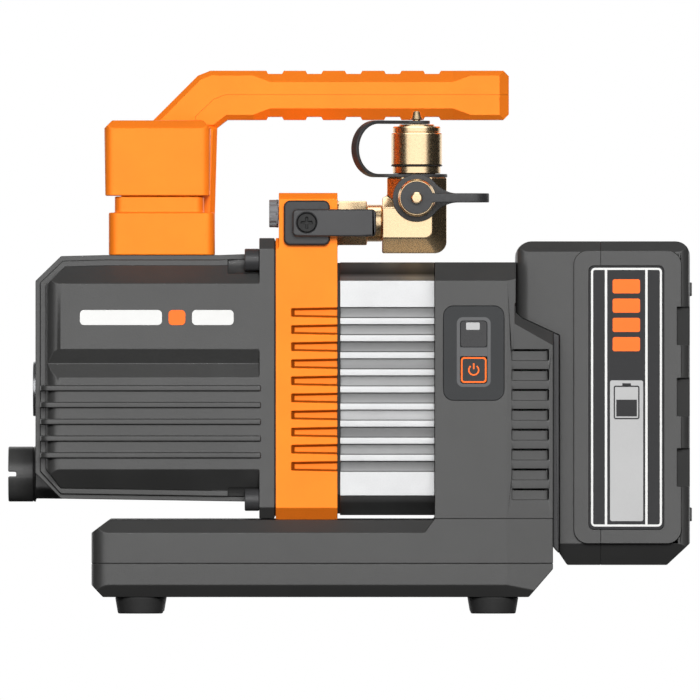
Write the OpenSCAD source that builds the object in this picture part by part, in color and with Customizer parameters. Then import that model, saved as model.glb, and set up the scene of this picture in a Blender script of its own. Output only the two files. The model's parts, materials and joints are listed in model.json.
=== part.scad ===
// Cordless two-stage vacuum pump for refrigeration service.
// Millimetres. +X points from the oil tank towards the battery, +Z is up, and
// -Y is the operator's side with the control panel. The origin is on the floor,
// under the middle of the pump.

/* [Overall] */
// half width of the base and of the rear housing
half_base = 59; // [50:0.5:66]
// half width of the tank, the pump body and the motor housing
half_body = 50; // [44:0.5:54]
// height of the pump and motor axis above the floor
axis_z = 86; // [80:0.5:92]
// usual wall of the castings and mouldings
wall = 3.5; // [2.5:0.1:5]
// gap between parts that slide over each other
slip = 0.4; // [0.3:0.05:0.8]

/* [Base and feet] */
// front end of the base, under the tank
base_x0 = -99; // [-110:0.5:-90]
// rear end of the base, under the battery dock
base_x1 = 77.9; // [70:0.1:85]
// underside of the base
base_z0 = 6.35; // [4:0.05:10]
// parting line between the two halves of the base
base_split_z = 19.25; // [15:0.05:24]
// top of the base
base_z1 = 36; // [30:0.5:40]
// radius of the base corners seen from above
base_corner_r = 7; // [3:0.5:12]
// radius of a foot where it meets the base
foot_r_top = 9.7; // [7:0.1:12]
// radius of a foot on the floor
foot_r_floor = 8.6; // [6:0.1:11]
// distance of the feet from the centre plane
foot_y = 45; // [38:0.5:50]
// position of the front feet along the pump
foot_front_x = -80.3; // [-88:0.1:-70]
// position of the rear feet along the pump
foot_rear_x = 55; // [45:0.5:62]

/* [Oil tank] */
// front face of the tank's raised rim
tank_x0 = -120.6; // [-130:0.1:-110]
// joint between the tank flange and the pump body
tank_x1 = -28.4; // [-30:0.1:-26]
// thickness of the bolted flange
flange_t = 6.3; // [4:0.1:9]
// half width of the raised rim that runs over the top and front
rim_half = 40; // [30:0.5:44]
// height of the lowest cooling rib
rib_z0 = 60.7; // [58:0.1:64]
// distance between cooling ribs
rib_pitch = 6.43; // [5:0.01:8]
// number of cooling ribs on each side
rib_count = 5; // [3:1:6]
// radius of a tank screw's head
screw_head_r = 4.25; // [3.5:0.05:5]
// height of the drain plug's axis
drain_z = 53.3; // [50:0.1:58]
// radius of the drain plug's head
drain_r = 10.6; // [8:0.1:12]

/* [Pump body] */
// joint between the pump body and the motor gasket
pump_x1 = -4.7; // [-8:0.1:-2]
// top of the pump body, where the tank flange ends
pump_z1 = 144; // [138:0.5:148]
// top of the valve block that stands on the pump body
block_z1 = 161.3; // [158:0.1:165]
// number of tapered slots in each side
slot_count = 10; // [6:1:12]
// distance between the slots, and between the housing's grooves
slot_pitch = 6.55; // [6:0.05:7.5]
// height of the uppermost slot
slot_z_top = 115.4; // [110:0.1:120]

/* [Pump cartridge] */
// outer radius of the stage cylinders
cartridge_r = 30; // [26:0.5:34]
// radius of the bore the vanes sweep
bore_r = 22; // [18:0.5:24]
// radius of the rotor
rotor_r = 19; // [15:0.5:21]
// radius of the rotor's journals
journal_r = 8; // [6:0.5:10]
// length of the first stage
stage_one = 30; // [20:1:36]
// length of the second stage
stage_two = 18; // [12:1:24]
// thickness of the centre and end plates
plate_t = 6; // [4:0.5:8]

/* [Inlet] */
// position of the ball valve along the pump
valve_x = -16.5; // [-18:0.1:-15]
// distance of the inlet from the centre plane
inlet_y = -28; // [-30:0.5:-26]
// height of the inlet axis
inlet_z = 149.8; // [148:0.1:152]
// radius of the valve ball
ball_r = 8.5; // [7:0.1:9]
// bore through the inlet fittings
passage_r = 4.5; // [3:0.1:5]
// position of the upright port's axis along the pump
port_x = 25.7; // [24:0.1:28]
// half width of the elbow's forged body
elbow_half = 11.4; // [9:0.1:13]
// top of the elbow, where the upright port starts
elbow_z1 = 167.3; // [165:0.1:170]
// thread radius of the 3/8 inch flare port
port_r = 7.94; // [5.55:0.01:10]
// thread radius of the 1/4 inch flare port
side_port_r = 5.55; // [4:0.01:8]
// height of the side port's axis
side_port_z = 159.4; // [157:0.1:161]
// distance from the port axis to the far side of the cap strap's loop
strap_reach = 29.6; // [24:0.1:34]
// direction of that loop, turned from -X towards the operator
strap_turn = 37; // [0:1:60]

/* [Motor] */
// rear end of the aluminium housing
motor_x1 = 32.6; // [28:0.1:36]
// underside of the aluminium housing
motor_z0 = 37.7; // [36.5:0.1:40]
// top of the aluminium housing
motor_z1 = 134.7; // [130:0.1:138]
// radius of the bore that holds the motor
motor_bore_r = 42; // [38:0.5:43]
// outer radius of the motor's rotor
motor_rotor_r = 22; // [16:0.5:26]
// radius of the motor shaft
shaft_r = 6; // [4:0.5:8]

/* [Rear housing and dock] */
// side-wall break where the rear housing starts to narrow
tower_break_x = 60.2; // [56:0.1:66]
// half width of the rear housing at its rear end
tower_rear_half = 55.5; // [50:0.5:58]
// rear face of the housing above the battery's shoulder
seat_x = 63.65; // [60:0.05:66]
// rear face of the dock plate
dock_x = 80.3; // [79:0.1:81]
// half width of the dock rail's stem
rail_stem_half = 18; // [12:0.5:22]
// half width of the dock rail's head
rail_head_half = 22; // [16:0.5:26]
// number of vent slots in each side
vent_count = 8; // [4:1:9]
// distance between vent slots
vent_pitch = 7.62; // [6:0.01:9]

/* [Control panel] */
// width of the panel along the pump
panel_w = 23.4; // [20:0.1:28]
// height of the panel
panel_h = 36.3; // [30:0.1:42]
// centre of the panel along the pump
panel_x = 47.5; // [46:0.1:49]
// centre height of the panel
panel_z = 99.85; // [90:0.05:105]
// side of the square power button
button_w = 9.8; // [8:0.1:12]
// height of the power button's centre
button_z = 93.4; // [90:0.1:96]

/* [Battery] */
// front face of the battery
pack_x0 = 80.6; // [80:0.1:82]
// joint between the battery's two shells
pack_split_x = 96.3; // [94:0.1:98]
// rear face of the battery
pack_x1 = 130.6; // [126:0.1:134]
// underside of the battery
pack_z0 = 18.5; // [16:0.1:22]
// top of the battery
pack_z1 = 142.8; // [138:0.1:148]
// half width of the battery's raised sides
pack_half = 39; // [36:0.5:42]
// radius of a battery cell
cell_r = 9.2; // [9:0.05:9.4]
// length of a battery cell
cell_len = 65; // [60:0.5:66]
// distance between rows of cells
cell_pitch = 18.9; // [18.6:0.05:19.5]

/* [Handle] */
// half width of the handle
grip_half = 13; // [10:0.5:16]
// underside of the grip
grip_z0 = 189.6; // [186:0.1:192]
// top of the grip
grip_z1 = 208.5; // [204:0.1:212]
// free end of the grip
grip_x1 = 61.2; // [55:0.1:63]
// parting line between the handle's two halves
grip_split_z = 199.2; // [197:0.1:202]
// number of finger notches along the grip
notch_count = 5; // [3:1:5]
// distance between the notches
notch_pitch = 15.1; // [14:0.1:17]

/* [Hidden] */

$fn = 64;
eps = 0.02;
run = 0.05;

ORANGE = [1.0, 0.50, 0.12];
GREY = [0.34, 0.34, 0.34];
DARK = [0.13, 0.13, 0.14];
PANEL = [0.22, 0.22, 0.23];
STEEL = [0.62, 0.63, 0.65];
ALU = [0.84, 0.85, 0.86];
CAST = [0.55, 0.56, 0.58];
BRASS = [0.85, 0.68, 0.36];
COPPER = [0.76, 0.42, 0.24];
RUBBER = [0.08, 0.08, 0.08];
WHITE = [0.88, 0.88, 0.86];
CELL = [0.20, 0.45, 0.62];

flange_x = tank_x1 - flange_t;
plug_x = tank_x0 - 0.4;
// cartridge stations, running from the pump body into the tank
c0 = tank_x1 - plate_t;
c1 = c0 - stage_one;
c2 = c1 - plate_t;
c3 = c2 - stage_two;
c4 = c3 - plate_t;
bore_z = axis_z + rotor_r + 0.1 - bore_r;
side_port_y = inlet_y - elbow_half;
lever_y = -half_body - 3.5;
vent_z_top = 99.15;
cell_x = [pack_x1 - 2.9 - 3 * cell_r, pack_x1 - 2.9 - cell_r];
cell_z0 = 41;
rail_z1 = 100;

// ---- drawing helpers -------------------------------------------------------

// extrudes a profile drawn as (y, z) along X
module along_x(x0, x1) {
  translate([x0, 0, 0]) rotate([90, 0, 90]) linear_extrude(x1 - x0) children();
}

// extrudes a profile drawn as (x, z) along Y
module along_y(y0, y1) {
  translate([0, y1, 0]) rotate([90, 0, 0]) linear_extrude(y1 - y0) children();
}

// extrudes a profile drawn as (x, y) along Z
module along_z(z0, z1) {
  translate([0, 0, z0]) linear_extrude(z1 - z0) children();
}

module rod_x(x0, x1, r, y = 0, z = axis_z) {
  translate([x0, y, z]) rotate([0, 90, 0]) cylinder(h = x1 - x0, r = r);
}

module rod_y(y0, y1, r, x, z) {
  translate([x, y0, z]) rotate([-90, 0, 0]) cylinder(h = y1 - y0, r = r);
}

module rod_z(z0, z1, r, x, y) {
  translate([x, y, z0]) cylinder(h = z1 - z0, r = r);
}

module bar(x0, x1, y0, y1, z0, z1) {
  translate([x0, y0, z0]) cube([x1 - x0, y1 - y0, z1 - z0]);
}

// rectangle with corners cut by a at the low side and b at the high side
module clipped(u0, u1, v0, v1, a, b) {
  polygon([
    [u0 + a, v0], [u1 - a, v0], [u1, v0 + a], [u1, v1 - b],
    [u1 - b, v1], [u0 + b, v1], [u0, v1 - b], [u0, v0 + a]
  ]);
}

// rectangle with round corners
module rounded(u0, u1, v0, v1, r) {
  translate([u0 + r, v0]) square([u1 - u0 - 2 * r, v1 - v0]);
  translate([u0, v0 + r]) square([u1 - u0, v1 - v0 - 2 * r]);
  for (u = [u0 + r, u1 - r])
    for (v = [v0 + r, v1 - r])
      translate([u, v]) circle(r = r);
}

// draws its children on both sides of the centre plane
module both_sides() {
  children();
  mirror([0, 1, 0]) children();
}

// ring about an axis along X
module ring_x(x0, x1, r_out, r_in, y = 0, z = axis_z) {
  difference() {
    rod_x(x0, x1, r_out, y, z);
    rod_x(x0 - 1, x1 + 1, r_in, y, z);
  }
}

// points on an arc from angle a to angle b
function arc(u, v, r, a, b) =
  [for (i = [0 : 7]) let(t = a + (b - a) * i / 7) [u + r * cos(t), v + r * sin(t)]];

// ---- base ------------------------------------------------------------------

// outline of the base and of the rear housing seen from above
module base_plan(grow = 0) {
  h = half_base + grow;
  rounded(base_x0 - grow, 0, -h, h, base_corner_r + grow);
  polygon([
    [-20, -h], [tower_break_x, -h], [base_x1 + grow, -tower_rear_half - grow],
    [base_x1 + grow, tower_rear_half + grow], [tower_break_x, h], [-20, h]
  ]);
}

module feet_at() {
  for (x = [foot_front_x, foot_rear_x])
    for (y = [-foot_y, foot_y])
      translate([x, y, 0]) children();
}

module base_upper() {
  color(GREY) difference() {
    union() {
      intersection() {
        along_z(base_split_z, base_z1 + 1) base_plan();
        along_y(-half_base, half_base) polygon([
          [base_x0, base_split_z], [base_x0, 31], [base_x0 + 6.7, base_z1],
          [base_x1, base_z1], [base_x1, base_split_z]
        ]);
        along_x(base_x0, base_x1) clipped(
          -half_base, half_base, base_split_z, base_z1, 0, 5
        );
      }
      intersection() {
        along_z(base_split_z, base_z1 + 0.5) base_plan();
        along_y(-half_base, half_base) polygon([
          [28.6, base_split_z], [28.6, 31], [motor_x1, base_z1 + 0.5],
          [base_x1, base_z1 + 0.5], [base_x1, base_split_z]
        ]);
      }
    }
    difference() {
      intersection() {
        along_z(base_split_z - 1, base_z1 - 4) base_plan(-wall);
        along_y(-half_base, half_base) polygon([
          [base_x0, 0], [base_x0 + wall, 27.5], [base_x0 + 10, base_z1 - 4],
          [base_x1, base_z1 - 4], [base_x1, 0]
        ]);
        along_x(base_x0, base_x1) clipped(
          -half_base + wall, half_base - wall, 0, base_z1 - 4, 0, 3
        );
      }
      feet_at() cylinder(h = base_z1 - 2, r = 5.5);
    }
    feet_at() cylinder(h = 29, r = 2.1);
    // cable way into the rear housing
    rod_z(base_z1 - 6, base_z1 + 2, 8, 56, 30);
  }
}

module base_lower() {
  color(GREY) difference() {
    intersection() {
      along_z(base_z0, base_split_z) base_plan();
      along_y(-half_base, half_base) polygon([
        [base_x0 + 4.4, base_z0], [base_x0, 11], [base_x0, base_split_z],
        [base_x1, base_split_z], [base_x1, 17.1], [68.6, base_z0]
      ]);
      along_x(base_x0, base_x1) clipped(
        -half_base, half_base, base_z0, base_split_z, 4.6, 0
      );
    }
    difference() {
      intersection() {
        along_z(base_z0 + wall, base_split_z + 1) base_plan(-wall);
        along_y(-half_base, half_base) polygon([
          [base_x0 + 8, base_z0], [base_x0, 16], [base_x0, 30],
          [base_x1, 30], [base_x1, 21.8], [66.5, base_z0]
        ]);
      }
      feet_at() cylinder(h = base_split_z + 1, r = 6);
    }
    feet_at() cylinder(h = 30, r = 2.7);
  }
}

module feet() {
  color(RUBBER) feet_at() difference() {
    cylinder(h = base_z0, r1 = foot_r_floor, r2 = foot_r_top);
    translate([0, 0, -1]) cylinder(h = 5, r = 5);
    cylinder(h = 10, r = 2.4);
  }
}

module base_screws() {
  color(STEEL) feet_at() difference() {
    union() {
      translate([0, 0, 1.4]) cylinder(h = 2.6, r = 4.2);
      cylinder(h = 28, r = 2);
    }
    translate([0, 0, -1]) cylinder(h = 2.4, r = 5);
    translate([-3, -0.5, 1]) cube([6, 1, 1.6]);
    translate([-0.5, -3, 1]) cube([1, 6, 1.6]);
  }
}

// ---- oil tank --------------------------------------------------------------

// centres of the four tank screws, as (y, z)
function tank_screw_at() = [
  [-45.5, 43.6], [45.5, 43.6], [-45.5, 135.7], [45.5, 135.7]
];

// side outline of the tank, moved in by d
module tank_side(d, x_end) {
  polygon([
    [tank_x0 + 9.8, 44 + d], [tank_x0 + d, 53.8 + d * 0.4],
    [tank_x0 + d, 127.6 - d * 0.4], [tank_x0 + 9.8 + d * 0.4, 137.1 - d],
    [-94, 137.5 - d], [-50, 137.5 - d], [x_end, 138.1 - d], [x_end, 42.8 + d]
  ]);
}

module tank_outside() {
  along_y(-rim_half, rim_half) tank_side(0, flange_x + 1);
  along_y(-rim_half - 2, rim_half + 2) tank_side(1.9, flange_x + 1);
  intersection() {
    along_y(-half_body, half_body) tank_side(4.1, flange_x + 1);
    along_x(tank_x0, flange_x + 1) clipped(
      -half_body, half_body, 46.5, 134.2, 8.7, 7.7
    );
    along_z(0, 200) rounded(tank_x0 + 4.1, 0, -half_body, half_body, 5.7);
  }
  for (i = [0 : rib_count - 1])
    along_z(rib_z0 + i * rib_pitch - 1, rib_z0 + i * rib_pitch + 1)
      rounded(tank_x0 + 1.9, 0, -half_body - 1.6, half_body + 1.6, 4);
  // pads for the drain plug and the sight glass
  along_x(tank_x0 - 0.3, tank_x0 + 12) rounded(-13, 13, 43.9, 66, 5);
}

module tank_keep() {
  bar(tank_x0 - 5, flange_x + 0.5, -60, 60, 30, 150);
}

module oil_tank() {
  color(GREY) difference() {
    union() {
      intersection() {
        tank_outside();
        tank_keep();
      }
      along_x(flange_x, tank_x1 - 0.5) clipped(
        -half_body, half_body, 36.4, pump_z1, 4.2, 4.1
      );
    }
    // V groove along each side
    both_sides() along_x(-130, flange_x) polygon([
      [half_body - 3, 95.9], [half_body + 1, 103.2], [half_body + 1, 88.6]
    ]);
    // oil space
    intersection() {
      along_x(tank_x0 + 7.5, tank_x1 + 1) clipped(
        -half_body + wall + 1.5, half_body - wall - 1.5, 50, 130.7, 6, 6
      );
      along_y(-half_body, half_body) polygon([
        [tank_x0 + 7.6, 56], [tank_x0 + 13, 50], [0, 50], [0, 130.7],
        [tank_x0 + 13, 130.7], [tank_x0 + 7.6, 125.5]
      ]);
    }
    for (p = tank_screw_at()) {
      rod_x(flange_x - 12, flange_x, screw_head_r + 1.2, p[0], p[1]);
      rod_x(flange_x - 1, tank_x1 + 1, 2.75, p[0], p[1]);
    }
    // threaded drain hole, sight-glass hole and exhaust opening
    rod_x(tank_x0 - 2, tank_x0 + 20, 7.1, 0, drain_z);
    rod_x(tank_x0 - 2, tank_x0 + 20, 8, 0, 86.1);
    rod_x(tank_x0 - 2, tank_x0 + 2.2, 10.6, 0, 86.1);
    rod_z(125, 140, 10, -73, -26.5);
  }
}

module tank_gasket() {
  color(DARK) difference() {
    along_x(tank_x1 - 0.5, tank_x1) clipped(
      -half_body + 1, half_body - 1, 37.4, pump_z1 - 1, 4.2, 4.1
    );
    along_x(tank_x1 - 2, tank_x1 + 1) clipped(
      -half_body + wall, half_body - wall, 50, 130.7, 7, 7
    );
    for (p = tank_screw_at())
      rod_x(tank_x1 - 2, tank_x1 + 1, 2.75, p[0], p[1]);
  }
}

module tank_screws() {
  color(STEEL) for (p = tank_screw_at()) difference() {
    union() {
      rod_x(flange_x - 5.6, flange_x, screw_head_r, p[0], p[1]);
      rod_x(flange_x, tank_x1 + 8, 2.5, p[0], p[1]);
    }
    translate([flange_x - 6, p[0], p[1]]) rotate([0, 90, 0])
      cylinder(h = 3.4, r = 2.3, $fn = 6);
  }
}

module drain_plug() {
  color(GREY) difference() {
    union() {
      rod_x(plug_x - 10.4, plug_x, drain_r, 0, drain_z);
      rod_x(plug_x - 1, plug_x + 9, 6.8, 0, drain_z);
    }
    bar(plug_x - 12, plug_x - 7.3, -20, 20, drain_z - 0.9, drain_z + 0.9);
    rod_x(plug_x - 1.3, plug_x + 10, 3.5, 0, drain_z);
    ring_x(plug_x - 0.6, plug_x - 0.3, drain_r + 1, drain_r - 0.6, 0, drain_z);
  }
}

module sight_bezel() {
  color(STEEL) difference() {
    union() {
      rod_x(tank_x0 - 1.3, tank_x0 + 2.2, 10.5, 0, 86.1);
      rod_x(tank_x0 + 2, tank_x0 + 8.5, 7.9, 0, 86.1);
    }
    rod_x(tank_x0 - 0.4, tank_x0 + 10, 6.2, 0, 86.1);
    rod_x(tank_x0 - 2, tank_x0 + 1, 7.2, 0, 86.1);
  }
}

module sight_lens() {
  color([0.8, 0.7, 0.45, 0.6]) union() {
    rod_x(tank_x0 - 0.6, tank_x0 + 1, 7.15, 0, 86.1);
    rod_x(tank_x0 + 0.9, tank_x0 + 5, 6.1, 0, 86.1);
  }
}

// ---- exhaust ---------------------------------------------------------------

module exhaust_port() {
  color(ORANGE) difference() {
    union() {
      along_z(137.5, 153.8) rounded(-92.5, -51.8, -40.5, -13.8, 4);
      along_z(150, 160) rounded(-90.2, -56, -38.5, -15.5, 3.5);
      along_z(158, 178) rounded(-87.6, -58.6, -35.5, -18, 3);
      rod_z(131.5, 138, 9.9, -73, -26.5);
    }
    rod_z(125, 150, 7.6, -73, -26.5);
    along_z(149, 180) rounded(-85.2, -61, -33.2, -20.3, 2);
    // vent holes below the cap
    for (x = [-82, -73, -64])
      bar(x - 2, x + 2, -60, -10, 164, 170);
  }
}

module exhaust_cap() {
  color(ORANGE) difference() {
    intersection() {
      along_z(160.3, 189.2) rounded(-94.2, -53.4, -40.5, -13.6, 4);
      along_y(-50, 0) polygon([
        [-94.2, 189.2 - 3], [-91.2, 189.2], [-56.4, 189.2], [-53.4, 186.2],
        [-53.8, 160.3], [-93.8, 160.3]
      ]);
      along_x(-100, -50) clipped(-40.5, -13.6, 150, 189.2, 0, 3);
    }
    along_z(159, 180.5) rounded(-87.6 - slip, -58.6 + slip, -35.5 - slip, -18 + slip, 3.4);
  }
}

module mist_filter() {
  color([0.85, 0.84, 0.78]) difference() {
    along_z(150.5, 176.5) rounded(-84.8, -61.4, -32.8, -20.7, 1.8);
    along_z(149, 172) rounded(-79, -67, -29.5, -24, 1.8);
  }
}

// ---- pump body and cartridge -----------------------------------------------

// space on one side of a slot's sloping wall; the walls spread towards the motor
module slot_wall(z, side) {
  translate([-22.5, 0, z + side * 1.65]) rotate([0, -side * 1.1, 0])
    along_x(-4, 24) polygon([
      [half_body - 3, -side * 8], [half_body - 3, -side * 1.1],
      [half_body + 1, side * 0.37], [half_body + 1, -side * 8]
    ]);
}

module side_slots() {
  for (i = [0 : slot_count - 1]) {
    z = slot_z_top - i * slot_pitch;
    intersection() {
      along_z(z - 3, z + 3) polygon([
        [-23.2, half_body + 1], [-21.1, half_body - 2.2], [pump_x1 + 1, half_body - 2.2],
        [pump_x1 + 1, half_body + 1]
      ]);
      slot_wall(z, 1);
      slot_wall(z, -1);
    }
  }
}

module pump_body() {
  color(ORANGE) difference() {
    union() {
      along_x(tank_x1, pump_x1) clipped(
        -half_body, half_body, base_z1, pump_z1, 4.5, 4.1
      );
      along_x(tank_x1 + 1.2, pump_x1) polygon([
        [-half_body, 130], [-half_body, block_z1 - 2.3], [-half_body + 2.3, block_z1],
        [-14, block_z1], [-12, block_z1 - 2], [-12, 130]
      ]);
    }
    both_sides() side_slots();
    // shaft seal seat, shaft hole and coupling space
    rod_x(tank_x1 - 1, -20, 14);
    rod_x(-21, -10, 10);
    rod_x(-18, pump_x1 + 1, 28);
    // tank screw threads
    for (p = tank_screw_at())
      rod_x(tank_x1 - 1, tank_x1 + 9, 2.52, p[0], p[1]);
    // ball chamber with its inlet thread, and the hole for the stem
    rod_x(-26.2, pump_x1 + 1, 9.4, inlet_y, inlet_z);
    rod_y(-60, inlet_y, 4.15, valve_x, inlet_z);
    // gallery from the ball chamber to the first stage
    rod_z(117, inlet_z, 3.5, -23.5, inlet_y);
    rod_x(tank_x1 - 1, -23.5, 3.5, inlet_y, 118);
    // gas-ballast passage
    rod_x(tank_x1, -20, 2.6, -42, 153.4);
    rod_z(118, 153.4, 1.4, -22.5, -42);
  }
}

module pump_cylinders() {
  color(CAST) {
    difference() {
      rod_x(c1, c0, cartridge_r);
      rod_x(c1 - 1, c0 + 1, bore_r, 0, bore_z);
      bolt_holes(2.6);
      rod_y(-40, 0, 4, c0 - stage_one / 2, axis_z + 8);
    }
    difference() {
      rod_x(c3, c2, cartridge_r);
      rod_x(c3 - 1, c2 + 1, bore_r, 0, bore_z);
      bolt_holes(2.6);
      rod_z(axis_z, axis_z + 40, 3, c2 - stage_two / 2, 12);
    }
  }
}

module bolt_holes(r) {
  for (a = [45 : 90 : 315])
    translate([0, 26 * cos(a), axis_z + 26 * sin(a)]) rotate([0, 90, 0])
      translate([0, 0, c4 - 1]) cylinder(h = tank_x1 + 12 - c4, r = r);
}

module pump_plates() {
  color(CAST) {
    difference() {
      union() {
        rod_x(c0, tank_x1, 34);
        bar(c0, tank_x1, -35, -8, axis_z, 124);
      }
      rod_x(c0 - 1, tank_x1 + 1, journal_r + run);
      bolt_holes(2.6);
      rod_x(c0 + 2, tank_x1 + 1, 3.5, inlet_y, 118);
      bar(c0 + 2, c0 + 4, inlet_y - 2, -12, 104, 118);
    }
    difference() {
      rod_x(c2, c1, cartridge_r);
      rod_x(c2 - 1, c1 + 1, journal_r + run);
      bolt_holes(2.6);
    }
    difference() {
      rod_x(c4, c3, cartridge_r);
      rod_x(c4 + 1.5, c3 + 1, journal_r + run);
      bolt_holes(2.6);
    }
  }
}

module vane_slots(t, r) {
  bar(c3 + 0.2, c0 - 0.2, -r, r, axis_z - t / 2, axis_z + t / 2);
}

module pump_rotor() {
  color(STEEL) difference() {
    union() {
      rod_x(c1 + 0.2, c0 - 0.2, rotor_r);
      rod_x(c3 + 0.2, c2 - 0.2, rotor_r);
      rod_x(c4 + 2, tank_x1 - 0.5, journal_r);
      rod_x(tank_x1 - 1, -11.2, 7);
    }
    // the vane slots run along both rotors, leaving the core whole
    for (s = [[c1 + 0.1, c0 - 0.1], [c3 + 0.1, c2 - 0.1]])
      both_sides() bar(s[0], s[1], 8.5, 20, axis_z - 2.1, axis_z + 2.1);
  }
}

module vanes() {
  color(DARK) for (s = [[c1 + 0.25, c0 - 0.25], [c3 + 0.25, c2 - 0.25]])
    both_sides() bar(s[0], s[1], 9, 18.7, axis_z - 2, axis_z + 2);
}

module cartridge_bolts() {
  color(STEEL) for (a = [45 : 90 : 315])
    translate([0, 26 * cos(a), axis_z + 26 * sin(a)]) rotate([0, 90, 0]) difference() {
      union() {
        translate([0, 0, c4 - 4]) cylinder(h = 4, r = 4);
        translate([0, 0, c4 - 0.1]) cylinder(h = tank_x1 - c4, r = 2.5);
      }
      translate([0, 0, c4 - 5]) cylinder(h = 3.2, r = 2, $fn = 6);
    }
}

module discharge_reeds() {
  x = c2 - stage_two / 2;
  color(STEEL) {
    bar(x - 5, x + 5, 6, 24, axis_z + cartridge_r, axis_z + cartridge_r + 0.6);
    rod_z(axis_z + 27.5, axis_z + cartridge_r + 2.4, 1.6, x, 20);
  }
}

module shaft_seal() {
  color(RUBBER) ring_x(tank_x1, -21, 13.9, 7.06);
}

// two drive hubs that face each other, each with two jaws
module coupling_jaws() {
  color(CAST) {
    difference() {
      union() {
        rod_x(-17, -11, 16);
        jaws(-11.5, -5.4, 0);
      }
      rod_x(-18, -4, 7.02);
    }
    difference() {
      union() {
        rod_x(-4.6, 1, 16);
        jaws(-10.6, -4.1, 90);
      }
      rod_x(-12, 2, shaft_r + 0.02);
    }
  }
}

module jaws(x0, x1, turn) {
  translate([0, 0, axis_z]) rotate([turn, 0, 0]) intersection() {
    rod_x(x0, x1, 16, 0, 0);
    difference() {
      bar(x0, x1, -16, 16, -4, 4);
      rod_x(x0 - 1, x1 + 1, 8, 0, 0);
    }
  }
}

module coupling_spider() {
  color([0.75, 0.15, 0.1]) {
    ring_x(-10.5, -5.6, 7.9, 7.1);
    for (a = [45 : 90 : 315])
      translate([0, 0, axis_z]) rotate([a, 0, 0]) bar(-10.5, -5.6, 7.2, 15.5, -2.2, 2.2);
  }
}

// ---- inlet -----------------------------------------------------------------

module valve_plate() {
  color(DARK) difference() {
    along_y(-half_body - 3.2, -half_body) rounded(-25.3, -7.6, 141.1, 158.4, 2.5);
    rod_y(-60, -40, 4.15, valve_x, inlet_z);
  }
}

module valve_lever() {
  color(DARK) difference() {
    along_y(lever_y - 4, lever_y)
      rounded(-21.9, 10.1, inlet_z - 5.2, inlet_z + 5.2, 1.7);
    rod_y(lever_y - 6, lever_y - 2.4, 3.7, valve_x, inlet_z);
    bar(valve_x - 1.55, valve_x + 1.55, lever_y - 5, lever_y + 1, inlet_z - 1.55, inlet_z + 1.55);
    // finger hollow under the free end
    bar(-8, 7.5, lever_y - 1.8, lever_y + 1, inlet_z - 3.2, inlet_z + 3.2);
  }
}

module lever_screw() {
  color(STEEL) difference() {
    union() {
      rod_y(lever_y - 4.6, lever_y - 2.4, 3.5, valve_x, inlet_z);
      rod_y(lever_y - 2.5, lever_y + 6, 0.95, valve_x, inlet_z);
    }
    bar(valve_x - 2.2, valve_x + 2.2, lever_y - 6, lever_y - 3.6, inlet_z - 0.45, inlet_z + 0.45);
    bar(valve_x - 0.45, valve_x + 0.45, lever_y - 6, lever_y - 3.6, inlet_z - 2.2, inlet_z + 2.2);
  }
}

module valve_stem() {
  color(STEEL) difference() {
    union() {
      rod_y(lever_y + 0.1, inlet_y - 9.3, 4.05, valve_x, inlet_z);
      bar(valve_x - 1.5, valve_x + 1.5, lever_y - 2.3, lever_y + 0.2, inlet_z - 1.5, inlet_z + 1.5);
      bar(valve_x - 3, valve_x + 3, inlet_y - 9.4, inlet_y - 6.5, inlet_z - 1.4, inlet_z + 1.4);
    }
    rod_y(lever_y - 5, lever_y + 7, 1, valve_x, inlet_z);
  }
}

// solid of revolution about the inlet axis, drawn as (radius, distance from the ball's centre)
module round_inlet() {
  translate([valve_x, inlet_y, inlet_z]) rotate([0, 90, 0]) rotate_extrude() children();
}

module valve_ball() {
  color(STEEL) difference() {
    round_inlet() difference() {
      circle(r = ball_r);
      translate([-2 * ball_r, -ball_r]) square([2 * ball_r + passage_r, 2 * ball_r]);
    }
    bar(valve_x - 4, valve_x + 4, inlet_y - 12, inlet_y - 6.4, inlet_z - 1.5, inlet_z + 1.5);
  }
}

module valve_seats() {
  color(WHITE) for (s = [[-26.2, -22], [-11, pump_x1 - 1]]) round_inlet() difference() {
    translate([passage_r + 0.3, s[0] - valve_x]) square([9.35 - passage_r - 0.3, s[1] - s[0]]);
    circle(r = ball_r + 0.06);
  }
}

module valve_nut() {
  color(BRASS) difference() {
    union() {
      translate([pump_x1, inlet_y, inlet_z]) rotate([30, 0, 0]) rotate([0, 90, 0])
        cylinder(h = 11.3, r = 9.78, $fn = 6);
      rod_x(pump_x1 - 1, pump_x1 + 0.1, 9.3, inlet_y, inlet_z);
      rod_x(6, 12.4, 7.1, inlet_y, inlet_z);
    }
    rod_x(-8, 13, passage_r, inlet_y, inlet_z);
  }
}

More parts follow.
